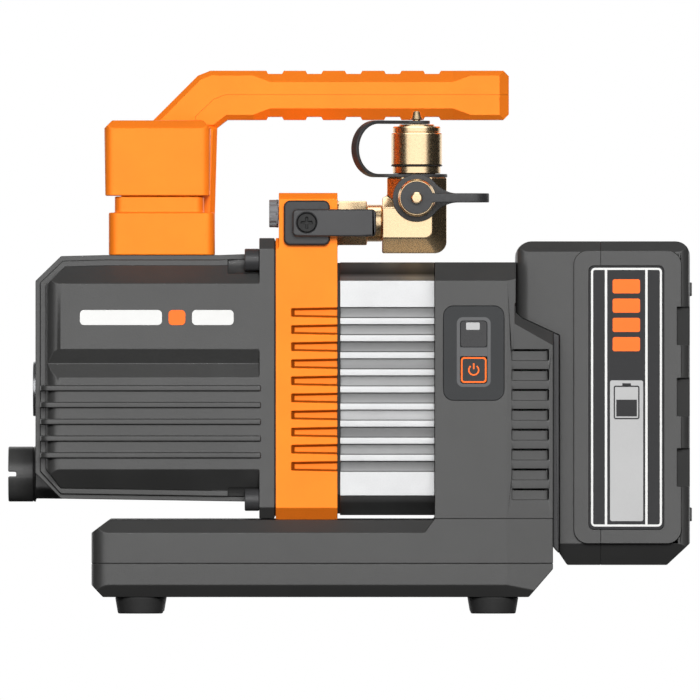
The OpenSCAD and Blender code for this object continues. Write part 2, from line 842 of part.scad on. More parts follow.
module inlet_elbow() {
  y0 = inlet_y - elbow_half;
  y1 = inlet_y + elbow_half;
  color(BRASS) difference() {
    union() {
      // lying branch
      intersection() {
        along_x(12.4, 37.2) clipped(y0, y1, 138.2, 161, 5.7, 5.7);
        along_y(y0, y1) polygon([
          [12.4, 130], [31.5, 138.2], [37.2, 143.9], [37.2, 161],
          [16.6, 161], [12.4, 156.8]
        ]);
      }
      intersection() {
        along_x(12.4, 33) clipped(y0, y1, 138.2, 161, 5.7, 5.7);
        bar(12.4, 31.6, y0, y1, 138.2, 157);
      }
      // upright branch
      along_z(inlet_z, elbow_z1) clipped(14.3, 37.1, y0, y1, 5.7, 5.7);
      // flare nose and thread of the upright port
      rod_z(elbow_z1 - 1, 180, port_r, port_x, inlet_y);
      translate([port_x, inlet_y, 180]) cylinder(h = 3.4, r1 = port_r - 0.6, r2 = 5);
      // side port
      rod_y(side_port_y - 8.6, inlet_y, side_port_r, port_x, side_port_z);
      translate([port_x, side_port_y - 8.5, side_port_z]) rotate([90, 0, 0])
        cylinder(h = 2.2, r1 = side_port_r - 0.6, r2 = 3.4);
    }
    rod_x(11, port_x, passage_r, inlet_y, inlet_z);
    rod_z(inlet_z - passage_r, 190, passage_r - 0.3, port_x, inlet_y);
    rod_y(side_port_y - 20, inlet_y, 2.4, port_x, side_port_z);
  }
}

module inlet_cap() {
  color(BRASS) difference() {
    union() {
      rod_z(172.1, 184.2, 9.7, port_x, inlet_y);
      rod_z(168.8, 171.6, 9.15, port_x, inlet_y);
      rod_z(171.5, 172.2, 8.9, port_x, inlet_y);
      rod_z(184.1, 186.9, 9.15, port_x, inlet_y);
      rod_z(186.8, 187.8, 6.9, port_x, inlet_y);
      rod_z(187.7, 192.7, 1.45, port_x, inlet_y);
      translate([port_x, inlet_y, 189.6]) cylinder(h = 3.1, r1 = 2.2, r2 = 1.25);
    }
    rod_z(168, 180.6, port_r + 0.35, port_x, inlet_y);
    translate([port_x, inlet_y, 180.5]) cylinder(h = 3.6, r1 = port_r - 0.2, r2 = 5.4);
  }
}

// C-shaped ribbon in a plane through the local Y axis: two legs and a half ring
module strap_loop(rise, reach, leg_low, leg_high, w, t) {
  r = rise / 2;
  translate([reach - r, 0, 0]) rotate([90, 0, 0]) translate([0, r, -w / 2])
    rotate([0, 0, -90]) rotate_extrude(angle = 180)
      translate([r - t / 2, 0]) square([t, w]);
  bar(leg_low, reach - r + eps, -w / 2, w / 2, -t / 2, t / 2);
  bar(leg_high, reach - r + eps, -w / 2, w / 2, rise - t / 2, rise + t / 2);
}

module inlet_strap() {
  rise = 188.5 - 168;
  color(RUBBER) translate([port_x, inlet_y, 168]) rotate([0, 0, 180 + strap_turn]) difference() {
    union() {
      translate([0, 0, -0.65]) cylinder(h = 1.3, r = 11.8);
      translate([0, 0, rise - 0.65]) cylinder(h = 1.3, r = 5.1);
      strap_loop(rise, strap_reach, 9, 3, 3.7, 1.3);
    }
    translate([0, 0, -3]) cylinder(h = 6, r = port_r + 0.1);
    translate([0, 0, rise - 3]) cylinder(h = 6, r = 1.5);
  }
}

module side_cap() {
  y = side_port_y;
  color(BRASS) difference() {
    union() {
      rod_y(y - 13.2, y - 2.2, 7.2, port_x, side_port_z);
      rod_y(y - 15.2, y - 13, 1.5, port_x, side_port_z);
      rod_y(y - 18.4, y - 15.1, 2.1, port_x, side_port_z);
    }
    rod_y(y - 8.8, y, side_port_r + 0.35, port_x, side_port_z);
    translate([port_x, y - 8.7, side_port_z]) rotate([90, 0, 0])
      cylinder(h = 2.4, r1 = side_port_r - 0.2, r2 = 3.6);
  }
}

module side_strap() {
  rise = 13;
  color(RUBBER) translate([port_x, side_port_y - 1.1, side_port_z]) rotate([90, 0, 0])
    difference() {
      union() {
        translate([0, 0, -0.65]) cylinder(h = 1.3, r = 9);
        translate([0, 0, rise - 0.65]) cylinder(h = 1.3, r = 6.4);
        strap_loop(rise, 27.1, 7, 4, 3.5, 1.3);
      }
      translate([0, 0, -3]) cylinder(h = 6, r = side_port_r + 0.1);
      translate([0, 0, rise - 3]) cylinder(h = 6, r = 1.55);
    }
}

module ballast_knob() {
  color(WHITE) difference() {
    union() {
      rod_x(tank_x1 - 2.5, tank_x1 + 1.1, 5.4, -42, 153.4);
      rod_x(tank_x1 + 1, -21, 2.5, -42, 153.4);
    }
    for (a = [0 : 45 : 315])
      translate([0, -42 + 6 * cos(a), 153.4 + 6 * sin(a)]) rotate([0, 90, 0])
        translate([0, 0, tank_x1 - 4]) cylinder(h = 4.2, r = 1.1);
    bar(tank_x1 - 3, tank_x1 - 1.6, -46, -38, 152.9, 153.9);
  }
}

// ---- motor -----------------------------------------------------------------

module motor_gasket() {
  color(DARK) difference() {
    along_x(pump_x1, pump_x1 + 0.95) clipped(
      -half_body + 0.6, half_body - 0.6, motor_z0 + 0.6, motor_z1 - 0.2, 7.4, 7
    );
    rod_x(pump_x1 - 1, pump_x1 + 2, 28);
  }
}

module motor_housing() {
  color(ALU) difference() {
    along_x(pump_x1 + 0.95, motor_x1) clipped(
      -half_body, half_body, motor_z0, motor_z1, 7.5, 7.1
    );
    rod_x(pump_x1, motor_x1 + 1, motor_bore_r);
    both_sides() for (i = [0 : slot_count - 1]) {
      z = slot_z_top - i * slot_pitch;
      bar(pump_x1, motor_x1 + 1, half_body - 3.4, half_body + 1, z - 1.95, z + 1.95);
    }
    for (a = [45 : 90 : 315])
      translate([0, 46.5 * cos(a), axis_z + 46.5 * sin(a)]) rotate([0, 90, 0])
        translate([0, 0, pump_x1]) cylinder(h = 60, r = 2.1);
  }
}

module front_shield() {
  color(CAST) difference() {
    rod_x(pump_x1 + 0.95, 8, motor_bore_r - 0.05);
    rod_x(pump_x1, 2.6, 19);
    rod_x(2, 8.5, 13.05);
    rod_x(pump_x1, 12, shaft_r + 2);
    for (a = [0 : 60 : 300])
      translate([0, 31 * cos(a), axis_z + 31 * sin(a)]) rotate([0, 90, 0])
        translate([0, 0, pump_x1]) cylinder(h = 20, r = 5);
  }
}

module stator_core() {
  color(STEEL) difference() {
    rod_x(10, 38, 39);
    rod_x(9, 39, motor_rotor_r + 0.6);
    for (a = [0 : 30 : 330])
      translate([0, 0, axis_z]) rotate([a, 0, 0]) {
        bar(9, 39, 25, 33.5, -3.6, 3.6);
        bar(9, 39, 20, 26, -1, 1);
      }
  }
}

module windings() {
  color(COPPER) {
    for (a = [0 : 30 : 330])
      translate([0, 0, axis_z]) rotate([a, 0, 0]) bar(8.6, 39.4, 26, 33, -3.2, 3.2);
    ring_x(8.5, 9.9, 34.4, 25);
    ring_x(38.1, 41.5, 34.4, 25);
  }
}

module motor_rotor() {
  color(DARK) difference() {
    rod_x(10, 38, motor_rotor_r);
    rod_x(9, 39, shaft_r + 0.02);
    for (a = [0 : 60 : 300])
      translate([0, 13.5 * cos(a), axis_z + 13.5 * sin(a)]) rotate([0, 90, 0])
        translate([0, 0, 9]) cylinder(h = 30, r = 2.6);
  }
}

module motor_shaft() {
  color(STEEL) rod_x(-4, 62, shaft_r);
}

module bearings() {
  color(STEEL) for (x = [2.7, 43.2]) difference() {
    ring_x(x, x + 5.2, 13, shaft_r + run);
    ring_x(x - 1, x + 0.8, 11.2, 8.6);
    ring_x(x + 4.4, x + 6, 11.2, 8.6);
  }
}

module end_bell() {
  color(CAST) difference() {
    union() {
      rod_x(38.6, 42.4, 41.5);
      rod_x(41, 50, 17);
    }
    rod_x(38, 43.1, 34.8);
    rod_x(42.4, 48.5, 13.05);
    rod_x(38, 60, shaft_r + 2);
  }
  color(CAST) difference() {
    for (a = [0 : 60 : 300])
      translate([0, 0, axis_z]) rotate([a, 0, 0]) bar(43.2, 47, 15, 41, -4, 4);
    rod_x(40, 60, 14);
  }
  color(CAST) difference() {
    ring_x(42.3, 47, 41.5, 35);
  }
}

module cooling_fan() {
  color(DARK) difference() {
    union() {
      rod_x(51.5, 59.6, 11);
      rod_x(51.5, 53, 33);
      for (a = [0 : 30 : 330])
        translate([0, 0, axis_z]) rotate([a, 0, 0]) bar(52, 59.3, 9, 33, -0.8, 0.8);
    }
    rod_x(50, 63, shaft_r + 0.02);
  }
}

// ---- rear housing and dock -------------------------------------------------

module rear_housing() {
  color(GREY) difference() {
    intersection() {
      along_z(base_z1 + 0.5, motor_z1) base_plan();
      along_x(motor_x1, base_x1) clipped(
        -half_base, half_base, 0, motor_z1, 0, 7.1
      );
      // the seat under the battery's shoulder follows its underside
      along_y(-half_base, half_base) polygon([
        [motor_x1, 30], [base_x1, 30], [base_x1, 107.8], [66.25, 113.15],
        [seat_x, 115.45], [seat_x, motor_z1], [motor_x1, motor_z1]
      ]);
    }
    // broad chamfer between the seat and each side
    both_sides() intersection() {
      bar(seat_x - 0.4, 90, -70, 0, 90, 125);
      translate([65.9, -57.87, 109.6]) rotate([0, 28.9, 11.2])
        along_x(-8, 20) polygon([[-1, -1], [-1, 7], [7, 7]]);
    }
    // inside
    intersection() {
      along_z(0, motor_z1 - wall) base_plan(-wall);
      along_x(motor_x1 + 3, base_x1) clipped(
        -half_base + wall, half_base - wall, 0, motor_z1 - wall, 0, 6
      );
      along_y(-half_base, half_base) polygon([
        [motor_x1 + 3, 0], [base_x1 - 3, 0], [base_x1 - 3, 98], [seat_x - 3, 106.5],
        [seat_x - 3, 140], [motor_x1 + 3, 140]
      ]);
    }
    rod_x(motor_x1 - 1, motor_x1 + 5, motor_bore_r);
    // louvres
    both_sides() for (i = [0 : vent_count - 1]) {
      z = vent_z_top - i * vent_pitch;
      intersection() {
        along_z(z - 2.15, z + 2.15) difference() {
          translate([62.1, 40]) square([14.2, 25]);
          base_plan(-2);
        }
        along_y(0, 80) rounded(62.1, 76.3, z - 2.15, z + 2.15, 0.6);
      }
    }
    // air slits in the louvres: at the top on one side, at the bottom on the other
    for (i = [0 : vent_count - 1]) {
      z = vent_z_top - i * vent_pitch;
      bar(63, 75.4, -70, -45, z + 1.5, z + 2.1);
      bar(63, 75.4, 45, 70, z - 2.1, z - 1.5);
    }
    // control panel pocket and the button's hole
    along_y(-half_base - 1, -half_base + 1.5)
      rounded(panel_x - panel_w / 2, panel_x + panel_w / 2, panel_z - panel_h / 2,
        panel_z + panel_h / 2, 4);
    bar(panel_x - 5.2, panel_x + 5.2, -70, -50, button_z - 5.2, button_z + 5.2);
    // way through for the battery leads
    bar(base_x1 - 5, base_x1 + 1, -10, 10, 84, 96);
  }
}

module dock_plate() {
  color(DARK) difference() {
    union() {
      along_y(-50, 50) polygon([
        [base_x1, 25.7], [base_x1, 107.9], [dock_x, 106.75], [dock_x, 23.5], [dock_x - 0.4, 23.3]
      ]);
      bar(dock_x - 1, 82.5, -rail_stem_half, rail_stem_half, 32, rail_z1);
      bar(82.5, 85.5, -rail_head_half, rail_head_half, 32, rail_z1);
    }
    bar(base_x1 - 1, 83.5, -9, 9, 85, 95);
    for (y = [-5.2, 0, 5.2])
      bar(base_x1 - 1, 90, y - 0.55, y + 0.55, 83.9, 96.1);
  }
}

module dock_terminals() {
  color(BRASS) for (y = [-5.2, 0, 5.2])
    bar(80, 88.4, y - 0.5, y + 0.5, 84, 96);
}

module control_board() {
  color([0.1, 0.35, 0.2]) union() {
    bar(66, 67.6, -42, 42, 46, 100);
    bar(63.4, 66.1, -36, -14, 50, 60);
    bar(67.5, 70.5, 12, 34, 56, 82);
    for (y = [-30, -18, 20])
      rod_x(67.5, 72.5, 4.5, y, 91);
    bar(67.5, 69.5, -34, -12, 62, 80);
  }
}

module control_panel() {
  color(PANEL) difference() {
    along_y(-half_base + 0.1, -half_base + 1.5)
      rounded(panel_x - panel_w / 2 + 0.05, panel_x + panel_w / 2 - 0.05,
        panel_z - panel_h / 2 + 0.05, panel_z + panel_h / 2 - 0.05, 3.9);
    along_y(-half_base - 1, -half_base + 3)
      rounded(panel_x - 5.2, panel_x + 5.2, button_z - 5.2, button_z + 5.2, 1.2);
    along_y(-half_base - 1, -half_base + 0.9)
      rounded(panel_x - 5.1, panel_x + 5.1, 102.1, 112.3, 1.2);
  }
}

module power_button() {
  h = button_w / 2;
  color(DARK) union() {
    along_y(-half_base + 0.1, -half_base + 2.1)
      rounded(panel_x - h, panel_x + h, button_z - h, button_z + h, 1.2);
    bar(panel_x - 3.7, panel_x + 3.7, -half_base + 2, -half_base + 6, button_z - 3.7,
      button_z + 3.7);
  }
}

module status_lens() {
  color([0.3, 0.3, 0.32]) along_y(-half_base + 0.3, -half_base + 0.9)
    rounded(panel_x - 5.05, panel_x + 5.05, 102.15, 112.25, 1.1);
}

// ---- battery ---------------------------------------------------------------

// side outline of the battery, with its shoulder, moved in by d
module pack_side(d) {
  polygon(concat(
    [
      [pack_x0 + 3 + d * 0.4, pack_z0 + d], [pack_x0 + d, pack_z0 + 4.5 + d * 0.4],
      [pack_x0 + d, 106.8 + d], [66.3 + d, 113.4 + d], [63.8 + d, 115.6 + d]
    ],
    arc(69.8, pack_z1 - 6, 6 - d, 180, 90),
    arc(pack_x1 - 5.5, pack_z1 - 5.5, 5.5 - d, 90, 0),
    [[pack_x1 - d, pack_z0 + 8.3 + d * 0.4], [pack_x1 - 8.8 - d * 0.4, pack_z0 + d]]
  ));
}

module pack_outside() {
  h = pack_half - 2;
  intersection() {
    along_y(-h, h) pack_side(0);
    along_x(60, 140) clipped(-h, h, pack_z0, pack_z1, 8.2, 4);
    along_z(0, 200) rounded(63.8, pack_x1, -h, h, 5);
  }
  along_y(-pack_half, pack_half) rounded(86, 127.2, 26.8, 139.2, 5.4);
}

module pack_inside() {
  h = pack_half - 2 - 2.4;
  difference() {
    intersection() {
      along_y(-h, h) pack_side(2.4);
      along_x(60, 140) clipped(-h, h, pack_z0 + 2, pack_z1 - 2, 8, 4.5);
      along_z(0, 200) rounded(50, pack_x1 - 2.4, -h, h, 7);
    }
    // wall round the dock channel
    bar(pack_x0, 90.7, -rail_head_half - 2.6, rail_head_half + 2.6, 0, rail_z1 + 2.6);
    // latch well
    bar(66, 79, -12.5, 12.5, 133, 150);
  }
}

module dock_channel() {
  bar(pack_x0 - 1, 84, -rail_stem_half - slip, rail_stem_half + slip, 0, rail_z1 + slip);
  bar(82.1, 85.9, -rail_head_half - slip, rail_head_half + slip, 0, rail_z1 + slip);
  bar(85, 89, -9, 9, 0, rail_z1 - 2);
}

module pack_cuts() {
  // label recess on both sides
  both_sides() along_y(pack_half - 0.8, pack_half + 1) rounded(91.7, 120.6, 32.1, 133.4, 2);
  // grip hollows on the rear edges
  both_sides() for (z = [110.3, 83, 56])
    along_z(z - 7.3, z + 7.3) polygon([
      [125.6, pack_half + 2], [125.6, pack_half - 3.2], [pack_x1 + 1, pack_half - 7.2],
      [pack_x1 + 1, pack_half + 2]
    ]);
  dock_channel();
}

module battery_front_shell() {
  color(GREY) difference() {
    intersection() {
      pack_outside();
      bar(60, pack_split_x, -60, 60, 0, 160);
    }
    pack_inside();
    pack_cuts();
    // latch well open at the top
    bar(68, 77, -10.5, 10.5, 135.5, 150);
  }
}

module battery_rear_shell() {
  color(GREY) difference() {
    union() {
      intersection() {
        pack_outside();
        bar(pack_split_x, 140, -60, 60, 0, 160);
      }
      // bumper nubs on the rear face
      for (z = [37.9, 124.4])
        along_x(pack_x1 - 1, pack_x1 + 0.8) rounded(-30, 30, z - 2.6, z + 2.6, 1);
    }
    pack_inside();
    pack_cuts();
  }
}

module battery_labels() {
  color(DARK) both_sides() along_y(pack_half - 0.8, pack_half - 0.3)
    rounded(91.9, 120.4, 32.3, 133.2, 1.8);
}

module battery_cells() {
  color(CELL) for (x = cell_x)
    for (i = [0 : 4])
      difference() {
        union() {
          rod_y(-cell_len / 2, cell_len / 2, cell_r - 0.1, x, cell_z0 + i * cell_pitch);
        }
        difference() {
          rod_y(cell_len / 2 - 1, cell_len / 2 + 1, cell_r, x, cell_z0 + i * cell_pitch);
          rod_y(cell_len / 2 - 2, cell_len / 2 + 2, 3.4, x, cell_z0 + i * cell_pitch);
        }
      }
}

module battery_latch() {
  color(ORANGE) union() {
    along_z(136.2, pack_z1 - 0.6) rounded(68.5, 76.5, -10, 10, 1.5);
  }
}

// ---- handle ----------------------------------------------------------------

// plate across the handle whose two faces have bevelled edges
module bevelled(outer, inner, c) {
  hull() {
    along_y(-grip_half, grip_half) polygon(inner);
    along_y(-grip_half + c, grip_half - c) polygon(outer);
  }
}

// stretch of the grip whose side bevels grow from c0 at x0 to c1 at x1
module grip_run(x0, x1, ca, cb) {
  hull() {
    along_x(x0, x0 + 0.05) clipped(-grip_half, grip_half, grip_z0, grip_z1, ca, ca);
    along_x(x1 - 0.05, x1) clipped(-grip_half, grip_half, grip_z0, grip_z1, cb, cb);
  }
}

module handle_outside() {
  // post
  bevelled(
    [[-84, 150], [-84, 181], [-66, 199], [-51, 186.5], [-52, 150]],
    [[-82, 150], [-82, 180.2], [-66, 196.2], [-52.7, 185.6], [-53.9, 150]],
    1.9
  );
  // corner
  bevelled(
    [[-76, 189], [-58.4, 206.6], [-53.6, 208.5], [-47, 208.5], [-47, 189.6], [-51, 186.5]],
    [[-74.7, 187.6], [-57.3, 205], [-53.2, 206.6], [-47, 206.6], [-47, 191.9], [-52.4, 187.7]],
    1.9
  );
  // grip
  along_x(-47.5, -37) clipped(-grip_half, grip_half, grip_z0, grip_z1, 1.9, 1.9);
  grip_run(-37.2, -30.7, 1.9, 4.4);
  along_x(-30.8, 39.8) clipped(-grip_half, grip_half, grip_z0, grip_z1, 4.4, 4.4);
  grip_run(39.7, 46.7, 4.4, 1.9);
  intersection() {
    along_x(46.6, grip_x1) clipped(-grip_half, grip_half, grip_z0, grip_z1, 1.9, 1.9);
    along_z(150, 220) clipped(0, grip_x1, -grip_half, grip_half, 3.6, 3.6);
    along_y(-20, 20) clipped(0, grip_x1, grip_z0, grip_z1, 2.1, 2.1);
  }
  // foot
  along_z(137.5, 153.8) rounded(-92, -52.2, -13.4, 20, 4);
}

module handle_notches() {
  for (i = [0 : notch_count - 1]) {
    x = -32.05 + i * notch_pitch;
    along_y(-20, 20) {
      polygon([
        [x, grip_z1 + 0.01], [x + 0.6, grip_z1 - 1.2], [x + 6, grip_z1 - 1.2],
        [x + 6.7, grip_z1 + 0.01], [x + 6.7, grip_z1 + 2], [x, grip_z1 + 2]
      ]);
      polygon([
        [x, grip_z0 - 0.01], [x + 0.6, grip_z0 + 1.2], [x + 6, grip_z0 + 1.2],
        [x + 6.7, grip_z0 - 0.01], [x + 6.7, grip_z0 - 2], [x, grip_z0 - 2]
      ]);
    }
  }
}

// side outline of the space the outer half fills, beyond the parting line
module cover_side() {
  polygon([
    [-200, 153.8], [-200, 230], [100, 230], [100, grip_split_z], [-47.8, grip_split_z],
    [-52.4, 197.4], [-59.2, 190.9], [-59.2, 153.8]
  ]);
}

// the same for the inner half, with a hairline gap d between the two
module core_side(d) {
  polygon([
    [-200, 153.8 + d], [-200, 50], [100, 50], [100, grip_split_z + d],
    [-47.8 - d * 0.4, grip_split_z + d], [-52.4 - d * 0.7, 197.4 + d * 0.7],
    [-59.2 - d, 190.9 + d * 0.4], [-59.2 - d, 153.8 + d]
  ]);
}

module handle_hollow() {
  bar(-50, 56, -grip_half + 4.6, grip_half - 4.6, grip_z0 + 4, grip_z1 - 4);
  bar(-79, -56, -grip_half + 4, grip_half - 4, 158, 178);
}

module handle_shell() {
  difference() {
    handle_outside();
    handle_notches();
    handle_hollow();
  }
}

module handle_core() {
  color(ORANGE) difference() {
    handle_shell();
    along_y(-30, 30) cover_side();
  }
}

module handle_cover() {
  color(ORANGE) difference() {
    handle_shell();
    along_y(-30, 30) core_side(0.1);
  }
}

// ---- node list -------------------------------------------------------------

base_upper();
base_lower();
feet();
base_screws();
oil_tank();
tank_gasket();
tank_screws();
drain_plug();
sight_bezel();
sight_lens();
exhaust_port();
exhaust_cap();
mist_filter();
pump_body();
pump_cylinders();
pump_plates();
pump_rotor();
vanes();
cartridge_bolts();
discharge_reeds();
shaft_seal();
coupling_jaws();
coupling_spider();
valve_plate();
valve_lever();
lever_screw();
valve_stem();
valve_ball();
valve_seats();
valve_nut();
inlet_elbow();
inlet_cap();
inlet_strap();
side_cap();
side_strap();
ballast_knob();
motor_gasket();
motor_housing();
front_shield();
stator_core();
windings();
motor_rotor();
motor_shaft();
bearings();
end_bell();
cooling_fan();
rear_housing();
dock_plate();
dock_terminals();
control_board();
control_panel();
power_button();
status_lens();
battery_front_shell();
battery_rear_shell();
battery_labels();
battery_cells();
battery_latch();
handle_core();
handle_cover();
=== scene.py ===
"""Looks for a cordless two-stage vacuum pump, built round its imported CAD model.

Everything is in metres in the model's own frame: +X from the oil tank to the battery, +Z up,
-Y the operator's side. Sizes below are written in millimetres and multiplied by MM.
"""

import json
import math

import bmesh
import bpy
from mathutils import Matrix, Vector


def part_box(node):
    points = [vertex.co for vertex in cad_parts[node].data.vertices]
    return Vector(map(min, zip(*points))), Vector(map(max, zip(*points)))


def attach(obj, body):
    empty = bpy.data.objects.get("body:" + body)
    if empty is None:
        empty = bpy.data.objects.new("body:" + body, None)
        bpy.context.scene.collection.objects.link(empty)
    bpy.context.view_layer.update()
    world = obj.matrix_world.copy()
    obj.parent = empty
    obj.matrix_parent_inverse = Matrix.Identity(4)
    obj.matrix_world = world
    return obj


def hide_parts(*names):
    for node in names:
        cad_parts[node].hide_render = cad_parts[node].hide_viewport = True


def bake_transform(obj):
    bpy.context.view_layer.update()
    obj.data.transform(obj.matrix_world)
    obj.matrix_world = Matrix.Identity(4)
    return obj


MM = 0.001
TAU = 2 * math.pi
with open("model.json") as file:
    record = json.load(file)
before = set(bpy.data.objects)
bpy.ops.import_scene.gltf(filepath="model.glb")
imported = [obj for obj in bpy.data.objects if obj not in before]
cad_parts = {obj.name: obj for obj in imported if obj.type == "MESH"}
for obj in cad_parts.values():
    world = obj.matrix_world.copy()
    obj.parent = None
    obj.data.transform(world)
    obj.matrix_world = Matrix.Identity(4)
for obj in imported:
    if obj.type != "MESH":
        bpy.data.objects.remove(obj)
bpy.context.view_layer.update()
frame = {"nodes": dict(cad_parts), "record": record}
RECORD = frame["record"]
NODE_BODY = {node: body for body, nodes in RECORD["behaviour"]["bodies"].items() for node in nodes}
NODE_SLOT = {part["node"]: part["material_slot"] for part in RECORD["subparts"]}


# ---- places, read from the frame ---------------------------------------------

LENS_LOW, LENS_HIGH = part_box("status_lens")
BUTTON_LOW, BUTTON_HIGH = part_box("power_button")
CAP_LOW, CAP_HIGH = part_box("inlet_cap")
SIDE_CAP_LOW, SIDE_CAP_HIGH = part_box("side_cap")
PLUG_LOW, PLUG_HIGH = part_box("drain_plug")
ELBOW_LOW, ELBOW_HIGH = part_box("inlet_elbow")
PANEL_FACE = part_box("control_panel")[0].y
LABEL_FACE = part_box("battery_labels")[0].y
PORT_X = (CAP_LOW.x + CAP_HIGH.x) / 2
PORT_Y = (CAP_LOW.y + CAP_HIGH.y) / 2
SIDE_PORT_Z = (SIDE_CAP_LOW.z + SIDE_CAP_HIGH.z) / 2
PLUG_Z = (PLUG_LOW.z + PLUG_HIGH.z) / 2
TANK_FACE = -50 * MM


# ---- materials ---------------------------------------------------------------

WHITE = (1.0, 1.0, 1.0)
GLASS_IOR = 1.46


class Nodes:
    """Short calls for building one material's node tree."""

    def __init__(self, name):
        self.material = bpy.data.materials.new(name)
        self.material.use_nodes = True
        self.tree = self.material.node_tree
        self.shader = self.tree.nodes["Principled BSDF"]
        coords = self.tree.nodes.new("ShaderNodeTexCoord")
        self.object_coords = coords.outputs["Object"]

    def new(self, kind, **settings):
        node = self.tree.nodes.new(kind)
        for key, value in settings.items():
            setattr(node, key, value)
        return node

    def link(self, source, target):
        self.tree.links.new(source, target)

    def noise(self, scale, detail=2.0, roughness=0.5, stretch=None):
        node = self.new("ShaderNodeTexNoise")
        node.inputs["Scale"].default_value = scale
        node.inputs["Detail"].default_value = detail
        node.inputs["Roughness"].default_value = roughness
        source = self.object_coords
        if stretch:
            mapping = self.new("ShaderNodeMapping")
            mapping.inputs["Scale"].default_value = stretch
            self.link(source, mapping.inputs["Vector"])
            source = mapping.outputs["Vector"]
        self.link(source, node.inputs["Vector"])
        return node.outputs["Fac"]

    def ramp(self, source, stops):
        """Colour ramp through (position, colour) stops."""
        node = self.new("ShaderNodeValToRGB")
        elements = node.color_ramp.elements
        while len(elements) < len(stops):
            elements.new(0.5)
        for element, (place, colour) in zip(elements, stops):
            element.position = place
            element.color = (*colour, 1.0)
        self.link(source, node.inputs["Fac"])
        return node.outputs["Color"]

    def span(self, source, low, high):
        """Spreads the usual reach of a noise, 0.3 to 0.7, over low to high."""
        node = self.new("ShaderNodeMapRange")
        node.inputs["From Min"].default_value = 0.3
        node.inputs["From Max"].default_value = 0.7
        node.inputs["To Min"].default_value = low
        node.inputs["To Max"].default_value = high
        self.link(source, node.inputs["Value"])
        return node.outputs["Result"]

    def bump(self, height, strength, distance):
        node = self.new("ShaderNodeBump")
        node.inputs["Strength"].default_value = strength
        node.inputs["Distance"].default_value = distance
        self.link(height, node.inputs["Height"])
        return node.outputs["Normal"]

    def mix(self, blend, a=None, b=None, factor=None):
        """Colour mix. An input left out is white, and the factor is 1."""
        node = self.new("ShaderNodeMix", data_type="RGBA", blend_type=blend)
        node.inputs["Factor"].default_value = 1.0
        for socket, source in (("A", a), ("B", b), ("Factor", factor)):
            if source:
                self.link(source, node.inputs[socket])
            elif socket != "Factor":
                node.inputs[socket].default_value = (*WHITE, 1.0)
        return node.outputs["Result"]

    def height(self):
        """Z of the model's frame, in metres."""
        split = self.new("ShaderNodeSeparateXYZ")
        self.link(self.object_coords, split.inputs["Vector"])
        return split.outputs["Z"]

    def side_distance(self):
        """Distance from the centre plane, in metres."""
        split = self.new("ShaderNodeSeparateXYZ")
        self.link(self.object_coords, split.inputs["Vector"])
        size = self.new("ShaderNodeMath", operation="ABSOLUTE")
        self.link(split.outputs["Y"], size.inputs[0])
        return size.outputs["Value"]

    def graded(self, source, shades):
        """Grey ramp through (place in millimetres, factor) pairs."""
        low, high = shades[0][0], shades[-1][0]
        place = self.new("ShaderNodeMapRange")
        place.inputs["From Min"].default_value = low * MM
        place.inputs["From Max"].default_value = high * MM
        self.link(source, place.inputs["Value"])
        return self.ramp(place.outputs["Result"], [
            ((at - low) / (high - low), (factor,) * 3) for at, factor in shades
        ])


def shade(colour, factor):
    return tuple(min(1.0, c * factor) for c in colour)


def coated(name, colour, roughness, grain, depth, mottle=0.06, metallic=0.0, specular=0.5,
           coat=0.0, painted_shade_colour=None):
    """Moulded, painted or blasted surface: fine grain, faint mottling and uneven gloss.
    grain is the noise scale, depth the relief in millimetres, mottle the spread of brightness.
    painted_shade_colour builds a colour of painted shade that multiplies the base colour."""
    m = Nodes(name)
    s = m.shader
    patches = m.noise(38, 4, 0.6)
    fine = m.noise(grain, 2, 0.6)
    tint = m.ramp(patches, [
        (0.30, shade(colour, 1 - mottle)),
        (0.70, shade(colour, 1 + mottle)),
    ])
    speckle = m.ramp(fine, [(0.30, shade(WHITE, 1 - mottle)), (0.72, WHITE)])
    base = m.mix("MULTIPLY", tint, speckle)
    # painted shade, multiplied into the base colour
    if painted_shade_colour:
        base = m.mix("MULTIPLY", base, painted_shade_colour(m))
    m.link(base, s.inputs["Base Color"])
    m.link(m.span(fine, roughness - 0.05, roughness + 0.07), s.inputs["Roughness"])
    s.inputs["Metallic"].default_value = metallic
    s.inputs["Specular IOR Level"].default_value = specular
    s.inputs["Coat Weight"].default_value = coat
    m.link(m.bump(fine, 0.6, depth * MM), s.inputs["Normal"])
    return m.material


def turned(name, colour, roughness, tint=0.10, grain=900, streak=None, depth=0.010):
    """Machined metal: fine tool marks, uneven gloss and a slight change of tint.
    streak stretches the marks along an axis."""
    m = Nodes(name)
    s = m.shader
    patches = m.noise(70, 4, 0.65)
    fine = m.noise(grain, 3, 0.7, streak)
    m.link(m.ramp(patches, [
        (0.25, shade(colour, 1 - tint)),
        (0.75, colour),
    ]), s.inputs["Base Color"])
    m.link(m.span(fine, roughness - 0.05, roughness + 0.08), s.inputs["Roughness"])
    s.inputs["Metallic"].default_value = 1.0
    m.link(m.bump(fine, 0.4, depth * MM), s.inputs["Normal"])
    return m.material


def clear(name, colour, roughness, transmission):
    """Window material with faint smears."""
    m = Nodes(name)
    s = m.shader
    fine = m.noise(300, 3, 0.6)
    m.link(m.ramp(fine, [(0.3, shade(colour, 0.93)), (0.7, colour)]), s.inputs["Base Color"])
    m.link(m.span(fine, roughness, roughness + 0.06), s.inputs["Roughness"])
    s.inputs["Transmission Weight"].default_value = transmission
    s.inputs["IOR"].default_value = GLASS_IOR
    return m.material


# painted shade bands on the groove floors of the motor housing: noise scale, and the darkest and
# lightest
PAINTED_SHADE_NOISE_SCALE = 110.0
PAINTED_SHADE_RANGE = (0.12, 0.75)
# distance from the centre plane against how much of a surface is outside the grooves, where no
# shade is painted
PAINTED_SHADE_EDGE = ((47.2, 0.0), (48.8, 1.0))

